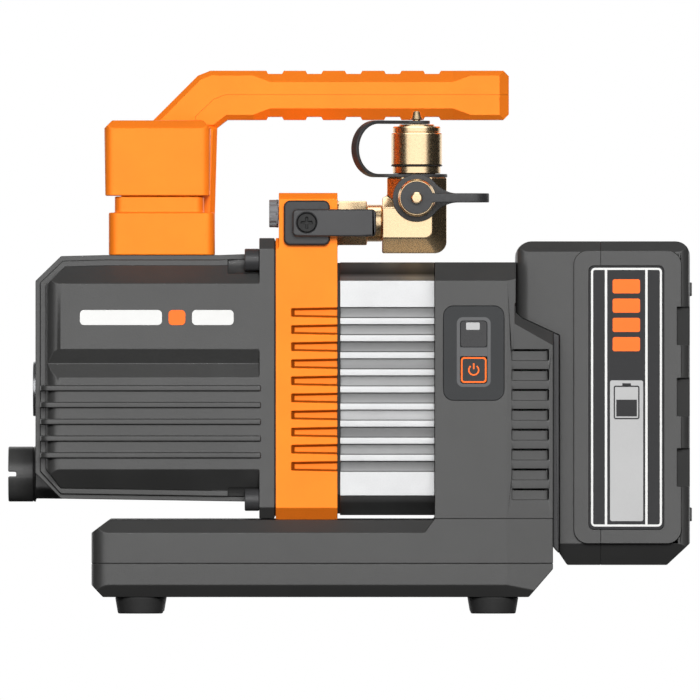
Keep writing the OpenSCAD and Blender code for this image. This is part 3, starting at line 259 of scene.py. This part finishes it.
# distance from the centre plane against painted shade in a slot of the pump body: brightness of
# its floor, its walls and the side face
SLOT_PAINTED_SHADE_STEPS = (
    (47.7, 0.85), (47.9, 0.80), (48.1, 0.22), (49.6, 0.30), (49.9, 1.0), (50.1, 1.0),
)
# the slots lie within SLOT_REACH of the height SLOT_MIDDLE
SLOT_MIDDLE, SLOT_REACH = 85.9, 32.0


def groove_floor_painted_shade(m):
    """Painted shade and painted reflection on the motor housing's groove floors: uneven bands, as
    metal mirrors a room in strips.
    """
    bands = m.span(m.noise(PAINTED_SHADE_NOISE_SCALE, 1.0, stretch=(0.0, 0.0, 1.0)), *PAINTED_SHADE_RANGE)
    return m.mix("MIX", a=bands, factor=m.graded(m.side_distance(), PAINTED_SHADE_EDGE))


def slot_wall_painted_shade(m):
    """Painted shade darkening the walls and floors of the slots in the side of the pump body."""
    level = m.new("ShaderNodeMath", operation="COMPARE")
    m.link(m.height(), level.inputs[0])
    level.inputs[1].default_value = SLOT_MIDDLE * MM
    level.inputs[2].default_value = SLOT_REACH * MM
    shades = m.graded(m.side_distance(), SLOT_PAINTED_SHADE_STEPS)
    return m.mix("MIX", b=shades, factor=level.outputs["Value"])


ORANGE = (1.0, 0.222, 0.014)
GREY = (0.029, 0.029, 0.0286)
INK = dict(roughness=0.50, grain=1800, depth=0.006, mottle=0.03)
ORANGE_PAINT = dict(colour=ORANGE, roughness=0.38, grain=1500, depth=0.030, metallic=0.4)
COATED = {
    "orange_paint": ORANGE_PAINT,
    # orange paint with painted shade in the slots of the pump body
    "slotted_paint": dict(ORANGE_PAINT, painted_shade_colour=slot_wall_painted_shade),
    "orange_plastic": dict(ORANGE_PAINT, grain=2000),
    "grey_paint": dict(
        colour=GREY, roughness=0.36, grain=1300, depth=0.045, mottle=0.10, specular=1.0),
    "grey_plastic": dict(
        colour=GREY, roughness=0.38, grain=2100, depth=0.035, mottle=0.08, specular=1.0),
    "grey_trim": dict(
        colour=(0.075, 0.076, 0.078), roughness=0.50, grain=2100, depth=0.02, mottle=0.05),
    "grey_knob": dict(
        colour=(0.14, 0.14, 0.145), roughness=0.45, grain=2100, depth=0.02, mottle=0.05),
    "dark_plastic": dict(
        colour=(0.016, 0.016, 0.017), roughness=0.38, grain=1800, depth=0.02, mottle=0.12,
        specular=0.8),
    "panel_plastic": dict(
        colour=(0.019, 0.020, 0.021), roughness=0.34, grain=2400, depth=0.010, mottle=0.05,
        specular=0.4),
    "smoked_lens": dict(
        colour=(0.010, 0.010, 0.011), roughness=0.22, grain=900, depth=0.004, coat=0.3),
    "black_rubber": dict(
        colour=(0.016, 0.016, 0.016), roughness=0.55, grain=1700, depth=0.03, mottle=0.15),
    "grey_rubber": dict(
        colour=(0.020, 0.020, 0.021), roughness=0.45, grain=1700, depth=0.03, mottle=0.10,
        specular=0.9),
    "red_rubber": dict(colour=(0.45, 0.05, 0.03), roughness=0.5, grain=1500, depth=0.02),
    "dark_steel": dict(
        colour=(0.026, 0.026, 0.027), roughness=0.38, grain=1600, depth=0.012, mottle=0.10,
        specular=0.8),
    # the groove floors are darkened in bands: painted shade and painted reflection
    "aluminium": dict(
        colour=(0.83, 0.835, 0.84), roughness=0.37, grain=1500, depth=0.030, mottle=0.05,
        metallic=1.0, painted_shade_colour=groove_floor_painted_shade),
    "white_plastic": dict(colour=(0.75, 0.75, 0.72), roughness=0.45, grain=1200, depth=0.01),
    "filter_paper": dict(
        colour=(0.70, 0.66, 0.55), roughness=0.85, grain=900, depth=0.08, mottle=0.12),
    "board": dict(colour=(0.02, 0.12, 0.06), roughness=0.35, grain=400, depth=0.01, mottle=0.2),
    "cell_wrap": dict(
        colour=(0.05, 0.16, 0.34), roughness=0.30, grain=200, depth=0.004, mottle=0.05),
    "white_ink": dict(INK, colour=(0.55, 0.55, 0.54)),
    "orange_ink": dict(INK, colour=(0.78, 0.13, 0.015)),
    "label_dark": dict(
        colour=(0.012, 0.012, 0.013), roughness=0.42, grain=2000, depth=0.006, mottle=0.06),
    "label_light": dict(
        colour=(0.33, 0.33, 0.33), roughness=0.45, grain=2000, depth=0.006, mottle=0.03),
}
TURNED = {
    "steel": dict(colour=(0.60, 0.61, 0.63), roughness=0.28),
    "iron": dict(colour=(0.34, 0.34, 0.35), roughness=0.42, tint=0.2, grain=700),
    "cast_aluminium": dict(colour=(0.62, 0.63, 0.65), roughness=0.45, tint=0.12, grain=800),
    "brass": dict(
        colour=(0.95, 0.71, 0.43), roughness=0.26, tint=0.05, grain=1600, depth=0.0006),
    "copper": dict(
        colour=(0.75, 0.36, 0.18), roughness=0.30, tint=0.15, grain=1200, streak=(0.2, 1, 1)),
}
MATERIALS = {name: coated(name, **look) for name, look in COATED.items()}
MATERIALS.update((name, turned(name, **look)) for name, look in TURNED.items())
MATERIALS["oil_glass"] = clear("oil_glass", (0.95, 0.78, 0.42), 0.04, 0.85)


# ---- mesh helpers ------------------------------------------------------------

WELD_DISTANCE = 2e-6
FLAT_ANGLE = 0.5
# gentle edges are rounded too where both faces are wide flats
WIDE_FLAT = 40 * MM * MM
GENTLE_ANGLE = 7
LATHE_STEPS = 96
LATHE_SHARP = 28
CORNER_STEPS = 6


def put_in_scene(name, data):
    obj = bpy.data.objects.new(name, data)
    bpy.context.scene.collection.objects.link(obj)
    return obj


def from_bmesh(name, bm, material):
    mesh = bpy.data.meshes.new(name)
    bm.to_mesh(mesh)
    bm.free()
    mesh.materials.append(MATERIALS[material])
    return put_in_scene(name, mesh)


def shade_smooth(obj):
    obj.data.polygons.foreach_set("use_smooth", [True] * len(obj.data.polygons))


def smooth(obj, angle=35):
    shade_smooth(obj)
    obj.data.set_sharp_from_angle(angle=math.radians(angle))


def weigh_edges(mesh, angle):
    """Marks for rounding the edges sharper than angle, and the gentler ones between wide flats."""
    bm = bmesh.new()
    bm.from_mesh(mesh)
    layer = bm.edges.layers.float.new("bevel_weight_edge")
    for edge in bm.edges:
        if len(edge.link_faces) != 2:
            continue
        turn = math.degrees(edge.calc_face_angle(0))
        wide = min(f.calc_area() for f in edge.link_faces) > WIDE_FLAT
        if turn > angle or (wide and turn > GENTLE_ANGLE):
            edge[layer] = 1.0
    bm.to_mesh(mesh)
    bm.free()


def round_edges(obj, width, segments=3, angle=34):
    """Rounds the marked edges and keeps flat faces flat."""
    weigh_edges(obj.data, angle)
    bevel = obj.modifiers.new("edges", "BEVEL")
    bevel.width = width * MM
    bevel.segments = segments
    bevel.limit_method = "WEIGHT"
    bevel.use_clamp_overlap = False
    bevel.miter_outer = "MITER_ARC"
    normals = obj.modifiers.new("normals", "WEIGHTED_NORMAL")
    normals.mode = "FACE_AREA"
    normals.weight = 50
    shade_smooth(obj)


def apply_modifiers(obj):
    """Replaces the mesh by what its modifiers make of it."""
    depsgraph = bpy.context.evaluated_depsgraph_get()
    made = bpy.data.meshes.new_from_object(obj.evaluated_get(depsgraph))
    obj.modifiers.clear()
    obj.data = made


def skin(node, width=0.5, material=None, segments=3, angle=34, merge=True):
    """A copy of a CAD node with merged flats and rounded edges, which stands for it.
    width is the rounding in millimetres, and angle says which edges count as sharp."""
    source = frame["nodes"][node]
    bm = bmesh.new()
    bm.from_mesh(source.data)
    bmesh.ops.remove_doubles(bm, verts=bm.verts, dist=WELD_DISTANCE)
    if merge:
        bmesh.ops.dissolve_limit(
            bm, angle_limit=math.radians(FLAT_ANGLE), use_dissolve_boundaries=False,
            verts=bm.verts, edges=bm.edges, delimit={"NORMAL"},
        )
    obj = from_bmesh(node + "_skin", bm, material or NODE_SLOT[node])
    if width:
        round_edges(obj, width, segments, angle)
        apply_modifiers(obj)
    else:
        smooth(obj, angle)
    stand_for(obj, node, NODE_BODY[node])


def on_body(obj, body):
    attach(obj, body)


def stand_for(obj, node, body):
    """Shows a mesh in place of a CAD node."""
    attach(obj, body)
    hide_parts(node)


def lathe(name, profile, origin, axis, material):
    """Solid of revolution. profile is (radius, distance along axis) in millimetres."""
    bm = bmesh.new()
    rings = []
    for radius, along in profile:
        if radius == 0:
            rings.append([bm.verts.new((0, 0, along * MM))])
            continue
        rings.append([
            bm.verts.new((
                radius * MM * math.cos(TAU * i / LATHE_STEPS),
                radius * MM * math.sin(TAU * i / LATHE_STEPS),
                along * MM,
            ))
            for i in range(LATHE_STEPS)
        ])
    for low, high in zip(rings, rings[1:]):
        for i in range(LATHE_STEPS):
            j = (i + 1) % LATHE_STEPS
            corners = [
                low[i % len(low)], low[j % len(low)], high[j % len(high)], high[i % len(high)],
            ]
            unique = list(dict.fromkeys(corners))
            if len(unique) > 2:
                bm.faces.new(unique)
    bmesh.ops.recalc_face_normals(bm, faces=bm.faces)
    obj = from_bmesh(name, bm, material)
    turn = Vector(axis).normalized().to_track_quat("Z", "Y").to_matrix().to_4x4()
    obj.data.transform(Matrix.Translation(Vector(origin)) @ turn)
    smooth(obj, LATHE_SHARP)
    return obj


def ring_profile(inner, outer, height, edge=0.3):
    """Closed outline of a flat ring whose outer edges are cut off."""
    h = height / 2
    return [
        (inner, -h), (outer - edge, -h), (outer, -h + edge), (outer, h - edge),
        (outer - edge, h), (inner, h), (inner, -h),
    ]


def circle(centre, radius, angles):
    u, v = centre
    return [(u + radius * math.cos(a), v + radius * math.sin(a)) for a in angles]


def sweep(start, turn, steps):
    """Angles from start over turn degrees, in radians."""
    return [math.radians(start + turn * i / steps) for i in range(steps + 1)]


def box_outline(u0, u1, v0, v1):
    return [(u1, v1), (u0, v1), (u0, v0), (u1, v0)]


def rounded_outline(u0, u1, v0, v1, r):
    """Points of a rectangle with round corners, anticlockwise, in millimetres."""
    points = []
    for i, centre in enumerate(box_outline(u0 + r, u1 - r, v0 + r, v1 - r)):
        points += circle(centre, r, sweep(90 * i, 90, CORNER_STEPS))
    return points


def side_plate(name, outline, y, thickness, material, hole=None, bevel=0.0):
    """Plate standing off a side face: outline is (x, z) in millimetres, growing towards -Y from y.
    With a hole it becomes a frame between two outlines of equal length."""
    bm = bmesh.new()
    front, back = y - thickness, y

    def ring(points, depth):
        return [bm.verts.new((px * MM, depth * MM, pz * MM)) for px, pz in points]

    outer_front, outer_back = ring(outline, front), ring(outline, back)
    loops = [(outer_front, outer_back)]
    if hole:
        inner_front, inner_back = ring(hole, front), ring(hole, back)
        loops.append((inner_front, inner_back))
        n = len(outline)
        for i in range(n):
            j = (i + 1) % n
            bm.faces.new([outer_front[i], outer_front[j], inner_front[j], inner_front[i]])
            bm.faces.new([outer_back[j], outer_back[i], inner_back[i], inner_back[j]])
    else:
        bm.faces.new(outer_front)
        bm.faces.new(list(reversed(outer_back)))
    for a, b in loops:
        for i in range(len(a)):
            j = (i + 1) % len(a)
            bm.faces.new([a[i], a[j], b[j], b[i]])
    bmesh.ops.recalc_face_normals(bm, faces=bm.faces)
    obj = from_bmesh(name, bm, material)
    if bevel:
        round_edges(obj, bevel, 2, 50)
        apply_modifiers(obj)
    else:
        smooth(obj)
    return obj


# ---- base, tank and exhaust ----------------------------------------------------

def make_base():
    skin("base_upper", 0.35)
    skin("base_lower", 0.35)
    skin("feet", 0.5)


def make_tank():
    skin("oil_tank", 0.3, segments=2)
    skin("tank_screws", 0.45)
    skin("sight_bezel", 0.3)
    skin("drain_plug", 0.5)
    seat = (PLUG_LOW.x + 10.4 * MM, 0, PLUG_Z)
    seal = lathe("drain_seal", ring_profile(8.2, 10.0, 0.9), seat, (1, 0, 0), "black_rubber")
    on_body(seal, "drain_plug")


def make_emblem():
    """Plain two-colour stripe where the tank carries a marking."""
    z0, z1 = 110.6, 116.4
    parts = (
        ("emblem_long", (-103.5, -72.0), "white_ink"),
        ("emblem_accent", (-69.5, -63.0), "orange_ink"),
        ("emblem_short", (-60.5, -44.5), "white_ink"),
    )
    for name, (x0, x1), ink in parts:
        outline = rounded_outline(x0, x1, z0, z1, 1.6)
        plate = side_plate(name, outline, TANK_FACE / MM + 0.1, 0.35, ink, bevel=0.1)
        on_body(plate, "frame")


def make_exhaust():
    skin("exhaust_port", 0.5)
    skin("exhaust_cap", 0.4)


# ---- pump body, motor and rear housing ------------------------------------------

def make_middle():
    # the pump body's slots get painted shade on their walls
    skin("pump_body", 0.25, "slotted_paint", segments=2)
    # its aluminium carries painted shade and painted reflection on the groove floors
    skin("motor_housing", 0.25, segments=2)
    skin("rear_housing", 0.2, segments=2, merge=False)
    skin("dock_plate", 0.4)


def make_panel():
    skin("control_panel", 0.25, segments=2)
    skin("status_lens", 0.15, segments=2)
    skin("power_button", 0.35)
    x = (BUTTON_LOW.x + BUTTON_HIGH.x) / 2 / MM
    z = (BUTTON_LOW.z + BUTTON_HIGH.z) / 2 / MM
    half = (BUTTON_HIGH.x - BUTTON_LOW.x) / 2 / MM
    make_surround(x, z, half)
    button_face = BUTTON_LOW.y / MM
    inside = half - 0.6
    border = side_plate(
        "button_border", rounded_outline(x - half, x + half, z - half, z + half, 1.2),
        button_face + 0.15, 0.22, "orange_ink",
        rounded_outline(x - inside, x + inside, z - inside, z + inside, 0.8),
    )
    on_body(border, "power_button")
    make_power_symbol(x, z, button_face)
    # light grey plate on the status window: partly the LED's window, partly a painted glint
    glint_plate = side_plate(
        "status_led", rounded_outline(x - 2.9, x + 2.3, 108.8, 111.6, 0.4),
        LENS_LOW.y / MM + 0.05, 0.15, "label_light",
    )
    on_body(glint_plate, "frame")


def make_surround(x, z, half):
    """Light surround of the window and the button, with a bridge between them."""
    y, thickness, ink = PANEL_FACE / MM + 0.15, 0.25, "grey_trim"
    gap, line = 0.35, 1.25
    top = LENS_HIGH.z / MM + 1.4
    reach = half + gap
    outside = reach + line
    outer = rounded_outline(x - outside, x + outside, z - outside, top, 2.4)
    inner = rounded_outline(x - reach, x + reach, z - reach, top - 1.3, 1.3)
    surround = side_plate("panel_surround", outer, y, thickness, ink, inner)
    on_body(surround, "frame")
    between = box_outline(x - half - 0.3, x + half + 0.3, z + reach, LENS_LOW.z / MM - 0.1)
    bridge = side_plate("panel_bridge", between, y, thickness, ink)
    on_body(bridge, "frame")


def make_power_symbol(x, z, face):
    """Open ring with an upright bar: the usual standby mark."""
    gap, outer, inner = 38, 2.15, 1.6
    angles = sweep(90 + gap, 360 - 2 * gap, 40)
    ring = circle((x, z), outer, angles) + circle((x, z), inner, reversed(angles))
    bar = rounded_outline(x - 0.3, x + 0.3, z + 0.3, z + 2.6, 0.25)
    for name, outline in (("power_ring", ring), ("power_bar", bar)):
        mark = side_plate(name, outline, face + 0.1, 0.2, "orange_ink")
        on_body(mark, "power_button")


# ---- inlet -------------------------------------------------------------------------

def make_inlet():
    skin("valve_plate", 0.9, segments=2)
    skin("valve_lever", 0.8, "dark_steel", segments=2)
    skin("lever_screw", 0.25, "black_rubber")
    skin("valve_nut", 0.5)
    make_elbow()
    skin("ballast_knob", 0.3, "grey_knob")
    make_inlet_cap()
    make_side_cap()
    make_inlet_strap()
    make_side_strap()


def make_elbow():
    """Forged elbow: two chamfered branches with a rounded heel, and two threaded flare ports."""
    x0, x1 = ELBOW_LOW.x / MM, ELBOW_HIGH.x / MM
    y0, y1 = PORT_Y / MM - 11.4, PORT_Y / MM + 11.4
    z0, z1 = ELBOW_LOW.z / MM, 167.3
    neck_x = 14.3
    chamfer, heel, heel_inside = 5.7, 4.6, 2.8
    quarter = sweep(-90, 90, 10)
    outer = [(x0, z0)] + circle((x1 - heel, z0 + heel), heel, quarter)
    outer += [(x1, z1), (neck_x, z1), (neck_x, 160.4), (x0, 159.4)]
    centre = (x1 - chamfer - heel_inside, z0 + chamfer + heel_inside)
    inner = [(x0, z0 + chamfer)] + circle(centre, heel_inside, quarter)
    inner += [(x1 - chamfer, z1), (neck_x + chamfer, z1), (neck_x + chamfer, 155.6), (x0, 155.6)]
    bm = bmesh.new()
    rings = [
        [bm.verts.new((x * MM, y * MM, z * MM)) for x, z in loop]
        for loop, y in ((inner, y0), (outer, y0 + chamfer), (outer, y1 - chamfer), (inner, y1))
    ]
    for a, b in zip(rings, rings[1:]):
        for i in range(len(a)):
            j = (i + 1) % len(a)
            bm.faces.new((a[i], a[j], b[j], b[i]))
    bm.faces.new(rings[0])
    bm.faces.new(list(reversed(rings[-1])))
    bmesh.ops.recalc_face_normals(bm, faces=bm.faces)
    body = from_bmesh("elbow_body", bm, "brass")
    round_edges(body, 0.55, 3, 20)
    apply_modifiers(body)
    stand_for(body, "inlet_elbow", "frame")
    port = lathe(
        "inlet_port", flare_port(7.94, 5.0, 4.2, 12.2, 16.1, 1.41),
        (PORT_X, PORT_Y, 167.2 * MM), (0, 0, 1), "brass",
    )
    on_body(port, "frame")
    side = lathe(
        "side_port", flare_port(5.55, 3.4, 2.4, 8.4, 10.8, 1.27),
        (PORT_X, (y0 + 0.1) * MM, SIDE_PORT_Z), (0, -1, 0), "brass",
    )
    on_body(side, "frame")


def flare_port(thread, tip, bore, shoulder, end, pitch):
    """Profile of a male flare port: thread ridges, cone nose and bore. thread, tip and bore are
    radii, and shoulder and end are heights."""
    profile = [(bore, 0), (thread - 0.9, 0), (thread - 0.9, 1.3)]
    along = 1.5
    while along < shoulder - pitch:
        profile += [
            (thread - 0.75, along), (thread, along + pitch * 0.45), (thread, along + pitch * 0.55),
        ]
        along += pitch
    profile += [
        (thread - 0.7, shoulder), (tip, end), (bore + 0.3, end), (bore, end - 0.4), (bore, 0),
    ]
    return profile


def make_inlet_cap():
    """Upright flare cap: grooved body, shoulder rings and a strap stud."""
    up = (0, 0, 1)
    inside = [(0, 15.3), (5.4, 15.3), (7.8, 11.9), (8.3, 11.7), (8.35, 0)]
    outside = [
        (8.85, 0), (9.15, 0.3), (9.15, 2.6), (8.8, 2.9), (8.8, 3.2), (9.4, 3.3),
        (9.72, 3.6), (9.72, 15.2), (9.45, 15.5), (8.9, 15.6), (8.9, 15.9), (9.15, 16.1),
        (9.15, 17.6), (8.75, 18.1), (6.9, 18.15), (6.9, 18.6), (6.4, 18.9), (1.75, 19.0),
        (1.5, 19.2), (1.45, 20.6), (2.25, 20.85), (2.3, 21.1), (1.45, 23.75), (1.2, 23.9),
        (0, 23.9),
    ]
    foot = (PORT_X, PORT_Y, CAP_LOW.z)
    cap = lathe("inlet_cap_body", inside + outside, foot, up, "brass")
    stand_for(cap, "inlet_cap", "inlet_cap")
    groove = (PORT_X, PORT_Y, CAP_LOW.z + 3.05 * MM)
    seal = lathe("inlet_cap_ring", ring_profile(8.7, 9.95, 0.55), groove, up, "black_rubber")
    on_body(seal, "inlet_cap")


def make_side_cap():
    """Small flare cap that points at the operator."""
    inside = [(0, 8.9), (3.6, 8.9), (5.3, 6.6), (5.9, 6.4), (5.9, 0)]
    outside = [
        (6.9, 0), (7.2, 0.3), (7.2, 9.4), (6.5, 10.8), (1.7, 10.85), (1.5, 11.0), (1.5, 12.9),
        (2.1, 13.1), (2.1, 15.6), (1.7, 16.1), (0, 16.2),
    ]
    seat = (PORT_X, SIDE_CAP_HIGH.y, SIDE_PORT_Z)
    cap = lathe("side_cap_body", inside + outside, seat, (0, -1, 0), "brass")
    stand_for(cap, "side_cap", "side_cap")


STRAP_THICKNESS = 1.3
ROUND_STEPS, HOLE_STEPS, NECK_STEPS, BEND_STEPS = 40, 48, 9, 36
NECK_LENGTH, NECK_CURVE = 8.5, 2.2


def strap_plan(ring, disc, length, width, flare):
    """Outline and holes of an unrolled cap strap in millimetres: a ring at the start, a ribbon
    along +X and a disc at the end. ring and disc are (inner, outer) radii, and flare is the
    angle at which the ribbon leaves the ring."""
    half = width / 2
    disc_angle = math.degrees(math.asin(half / disc[1]))
    outline = circle((0, 0), ring[1], sweep(flare, 360 - 2 * flare, ROUND_STEPS))
    ring_x, ring_y = outline[-1]
    neck = []
    for i in range(1, NECK_STEPS + 1):
        along = i / NECK_STEPS
        narrowing = 1 - (1 - along) ** NECK_CURVE
        neck.append((ring_x + NECK_LENGTH * along, ring_y - (half + ring_y) * narrowing))
    outline += neck
    around = sweep(180 + disc_angle, 360 - 2 * disc_angle, ROUND_STEPS)
    outline += circle((length, 0), disc[1], around)
    outline += [(x, -y) for x, y in reversed(neck)]
    full = sweep(0, 360, HOLE_STEPS)[:-1]
    return outline, [circle((0, 0), ring[0], full), circle((length, 0), disc[0], full)]


def strap(name, ring, disc, rise, reach, width, flare, place):
    """Rubber cap strap: a flat cut sheet bent through half a turn. rise is the height of the
    bend, reach its greatest distance from the ring, and place maps the strap to the model."""
    radius = rise / 2
    bend = reach - radius
    length = 2 * bend + math.pi * radius
    outline, holes = strap_plan(ring, disc, length, width, flare)
    bm = bmesh.new()
    edges = []
    for loop in [outline, *holes]:
        verts = [bm.verts.new((x, y, 0)) for x, y in loop]
        edges += [bm.edges.new((verts[i - 1], verts[i])) for i in range(len(verts))]
    bmesh.ops.triangle_fill(bm, edges=edges, use_beauty=True)
    for i in range(BEND_STEPS + 1):
        geometry = bm.verts[:] + bm.edges[:] + bm.faces[:]
        cut = (bend + math.pi * radius * i / BEND_STEPS, 0, 0)
        bmesh.ops.bisect_plane(bm, geom=geometry, plane_co=cut, plane_no=(1, 0, 0))
    made = bmesh.ops.extrude_face_region(bm, geom=bm.faces[:])["geom"]
    top = {v for v in made if isinstance(v, bmesh.types.BMVert)}
    for v in bm.verts:
        lift = (0.5 if v in top else -0.5) * STRAP_THICKNESS
        x, y = v.co.x, v.co.y
        if x <= bend:
            v.co = (x, y, lift)
        elif x <= bend + math.pi * radius:
            a = (x - bend) / radius
            r = radius - lift
            v.co = (bend + r * math.sin(a), y, radius - r * math.cos(a))
        else:
            v.co = (length - x, y, rise - lift)
        v.co *= MM
    bmesh.ops.recalc_face_normals(bm, faces=bm.faces)
    obj = from_bmesh(name, bm, "grey_rubber")
    obj.data.transform(place)
    round_edges(obj, 0.3, 2, 60)
    apply_modifiers(obj)
    return obj


def make_inlet_strap():
    """Tether of the upright cap, whose loop leans towards the operator."""
    lean = math.radians(180 + 37)
    seat = Matrix.Translation((PORT_X, PORT_Y, CAP_LOW.z - 0.8 * MM))
    place = seat @ Matrix.Rotation(lean, 4, "Z")
    obj = strap("inlet_strap_band", (8.1, 11.8), (1.5, 5.1), 20.5, 29.6, 3.7, 24, place)
    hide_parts("inlet_strap")
    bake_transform(obj)


def make_side_strap():
    """Tether of the small cap, which loops back beside the port."""
    seat = Matrix.Translation((PORT_X, SIDE_CAP_HIGH.y + 1.1 * MM, SIDE_PORT_Z))
    place = seat @ Matrix.Rotation(math.radians(90), 4, "X")
    obj = strap("side_strap_band", (5.65, 9.2), (1.55, 6.3), 13.0, 27.1, 3.5, 34, place)
    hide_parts("side_strap")
    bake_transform(obj)


# ---- battery and handle --------------------------------------------------------------

def mirrored(obj):
    """A copy on the far side of the centre plane."""
    mesh = obj.data.copy()
    mesh.transform(Matrix.Scale(-1, 4, (0, 1, 0)))
    mesh.flip_normals()
    return put_in_scene(obj.name + "_far", mesh)


def framed(x0, x1, z0, z1, r, line):
    """Outline of a frame and of its hole."""
    return (
        rounded_outline(x0, x1, z0, z1, r),
        rounded_outline(x0 + line, x1 - line, z0 + line, z1 - line, max(0.2, r - line)),
    )


def make_battery():
    skin("battery_front_shell", 0.22, segments=2)
    skin("battery_rear_shell", 0.22, segments=2)
    skin("battery_latch", 0.5)
    skin("battery_labels", 0.1, "label_dark", segments=2)
    make_label_print()


def make_label_print():
    """Border, two rules, four charge bars and a cell symbol, on both labels."""
    x0, x1, z0, z1, line = 92.6, 119.8, 33.3, 132.6, 0.8
    bar_top, bar_height, bar_pitch = 128.2, 5.4, 7.4
    plates = [("label_border", *framed(x0, x1, z0, z1, 1.6, line), "white_ink")]
    for i, (a, b) in enumerate(((97.9, 98.8), (113.4, 114.3))):
        rule = box_outline(a, b, z0 + line, z1 - line)
        plates.append((f"label_rule_{i}", rule, None, "white_ink"))
    for i in range(4):
        top = bar_top - i * bar_pitch
        bar = rounded_outline(100.9, 111.4, top - bar_height, top, 0.8)
        plates.append((f"label_charge_{i}", bar, None, "orange_ink"))
    field = rounded_outline(99.9, 112.6, 35.4, 89.4, 0.8)
    tip = box_outline(104.6, 107.9, 87.3, 88.3)
    level = box_outline(102.3, 110.2, 75.6, 82.0)
    plates += [
        ("label_field", field, None, "label_light"),
        ("label_cell", *framed(101.3, 111.2, 74.5, 87.4, 0.8, 0.5), "label_dark"),
        ("label_cell_tip", tip, None, "label_dark"),
        ("label_cell_level", level, None, "label_dark"),
    ]
    face = LABEL_FACE / MM + 0.05
    for name, outline, hole, ink in plates:
        depth = face - (0.12 if name.startswith("label_cell") else 0.0)
        plate = side_plate(name, outline, depth, 0.14, ink, hole)
        for side in (plate, mirrored(plate)):
            on_body(side, "battery")


def make_handle():
    """The CAD already has the handle's bevels, so its edges are only kept crisp."""
    for node in ("handle_core", "handle_cover"):
        skin(node, 0.0, angle=9)


# ---- stage ----------------------------------------------------------------------------

MIDDLE = (0, 0, 0.1)
BRASS_PIECES = ("elbow_body", "inlet_port", "side_port", "inlet_cap_body", "side_cap_body")
# fill light from straight below, at 0, to straight above, at 1
FILL = ((0.1, 0.03), (0.45, 0.02), (0.62, 0.02), (0.95, 0.12))
CAMERA_DISTANCE, FIELD_WIDTH = 12.0, 0.2695
CAMERA_X, CAMERA_Z = 0.0001, 0.10106


def area_light(name, place, target, size, power, size_y=None):
    light = bpy.data.lights.new(name, "AREA")
    light.energy = power
    light.size = size
    if size_y:
        light.shape = "RECTANGLE"
        light.size_y = size_y
    obj = put_in_scene(name, light)
    obj.location = place
    obj.rotation_euler = (Vector(target) - Vector(place)).to_track_quat("-Z", "Y").to_euler()
    return obj


def make_world():
    """White to the camera, and to everything else a dim fill that changes with height."""
    world = bpy.data.worlds.new("studio")
    bpy.context.scene.world = world
    world.use_nodes = True
    tree = world.node_tree
    out = tree.nodes["World Output"]
    dim = tree.nodes["Background"]
    dim.inputs["Strength"].default_value = 1.0
    coords = tree.nodes.new("ShaderNodeTexCoord")
    split = tree.nodes.new("ShaderNodeSeparateXYZ")
    height = tree.nodes.new("ShaderNodeMapRange")
    height.inputs["From Min"].default_value = -1.0
    ramp = tree.nodes.new("ShaderNodeValToRGB")
    elements = ramp.color_ramp.elements
    while len(elements) < len(FILL):
        elements.new(0.5)
    for element, (place, value) in zip(elements, FILL):
        element.position = place
        element.color = (value, value, value, 1.0)
    tree.links.new(coords.outputs["Generated"], split.inputs["Vector"])
    tree.links.new(split.outputs["Z"], height.inputs["Value"])
    tree.links.new(height.outputs["Result"], ramp.inputs["Fac"])
    tree.links.new(ramp.outputs["Color"], dim.inputs["Color"])
    white = tree.nodes.new("ShaderNodeBackground")
    white.inputs["Color"].default_value = (*WHITE, 1.0)
    path = tree.nodes.new("ShaderNodeLightPath")
    mix = tree.nodes.new("ShaderNodeMixShader")
    tree.links.new(path.outputs["Is Camera Ray"], mix.inputs["Fac"])
    tree.links.new(dim.outputs["Background"], mix.inputs[1])
    tree.links.new(white.outputs["Background"], mix.inputs[2])
    tree.links.new(mix.outputs["Shader"], out.inputs["Surface"])


def make_lights():
    # lamps that light without being mirrored: name, place, size, power
    for name, place, size, power in (
        ("key", (0.1, -2.0, 0.66), 0.6, 76),
        ("left", (-2.0, 0.6, 0.7), 0.8, 8),
        ("right", (2.0, 0.6, 0.5), 0.8, 8),
        ("back", (0.3, 1.9, 0.9), 0.8, 66),
    ):
        area_light(name, place, MIDDLE, size, power).visible_glossy = False
    # wide panels that only show as reflections, in front and behind
    for name, y, power in (("front_panel", -2.0, 37), ("back_panel", 2.0, 28)):
        panel = area_light(name, (0, y, 0.62), (0, 0, 0.30), 4.4, power, 1.9)
        panel.visible_diffuse = False
    # the brass mirrors a bright ceiling and a dimmer ground that the rest does not see
    for name, height, power, lit in (
        ("brass_ceiling", 1.3, 10, (*BRASS_PIECES, "valve_nut_skin")),
        ("brass_ground", -1.0, 8, BRASS_PIECES),
    ):
        panel = area_light(name, (0.02, -0.1, height), (0.02, -0.1, 0.19), 1.2, power)
        panel.visible_camera = False
        brass = bpy.data.collections.new(name + "_only")
        for part in lit:
            brass.objects.link(bpy.data.objects[part])
        panel.light_linking.receiver_collection = brass
        panel.light_linking.blocker_collection = brass


def make_camera():
    """Level view along +Y from far away, almost without perspective."""
    data = bpy.data.cameras.new("camera")
    data.sensor_width = 36
    data.lens = data.sensor_width * CAMERA_DISTANCE / FIELD_WIDTH
    data.clip_end = 100
    camera = put_in_scene("camera", data)
    camera.location = (CAMERA_X, -CAMERA_DISTANCE, CAMERA_Z)
    camera.rotation_euler = (math.radians(90), 0, 0)
    bpy.context.scene.camera = camera
    view = bpy.context.scene.view_settings
    view.view_transform = "Standard"
    view.look = "None"


def paint_nodes():
    """Gives every CAD node its slot's material."""
    for name, obj in frame["nodes"].items():
        obj.data.materials.clear()
        obj.data.materials.append(MATERIALS[NODE_SLOT[name]])


def main():
    paint_nodes()
    make_base()
    make_tank()
    make_emblem()
    make_exhaust()
    make_middle()
    make_panel()
    make_inlet()
    make_battery()
    make_handle()
    make_camera()
    make_world()
    make_lights()


main()
bpy.context.view_layer.update()
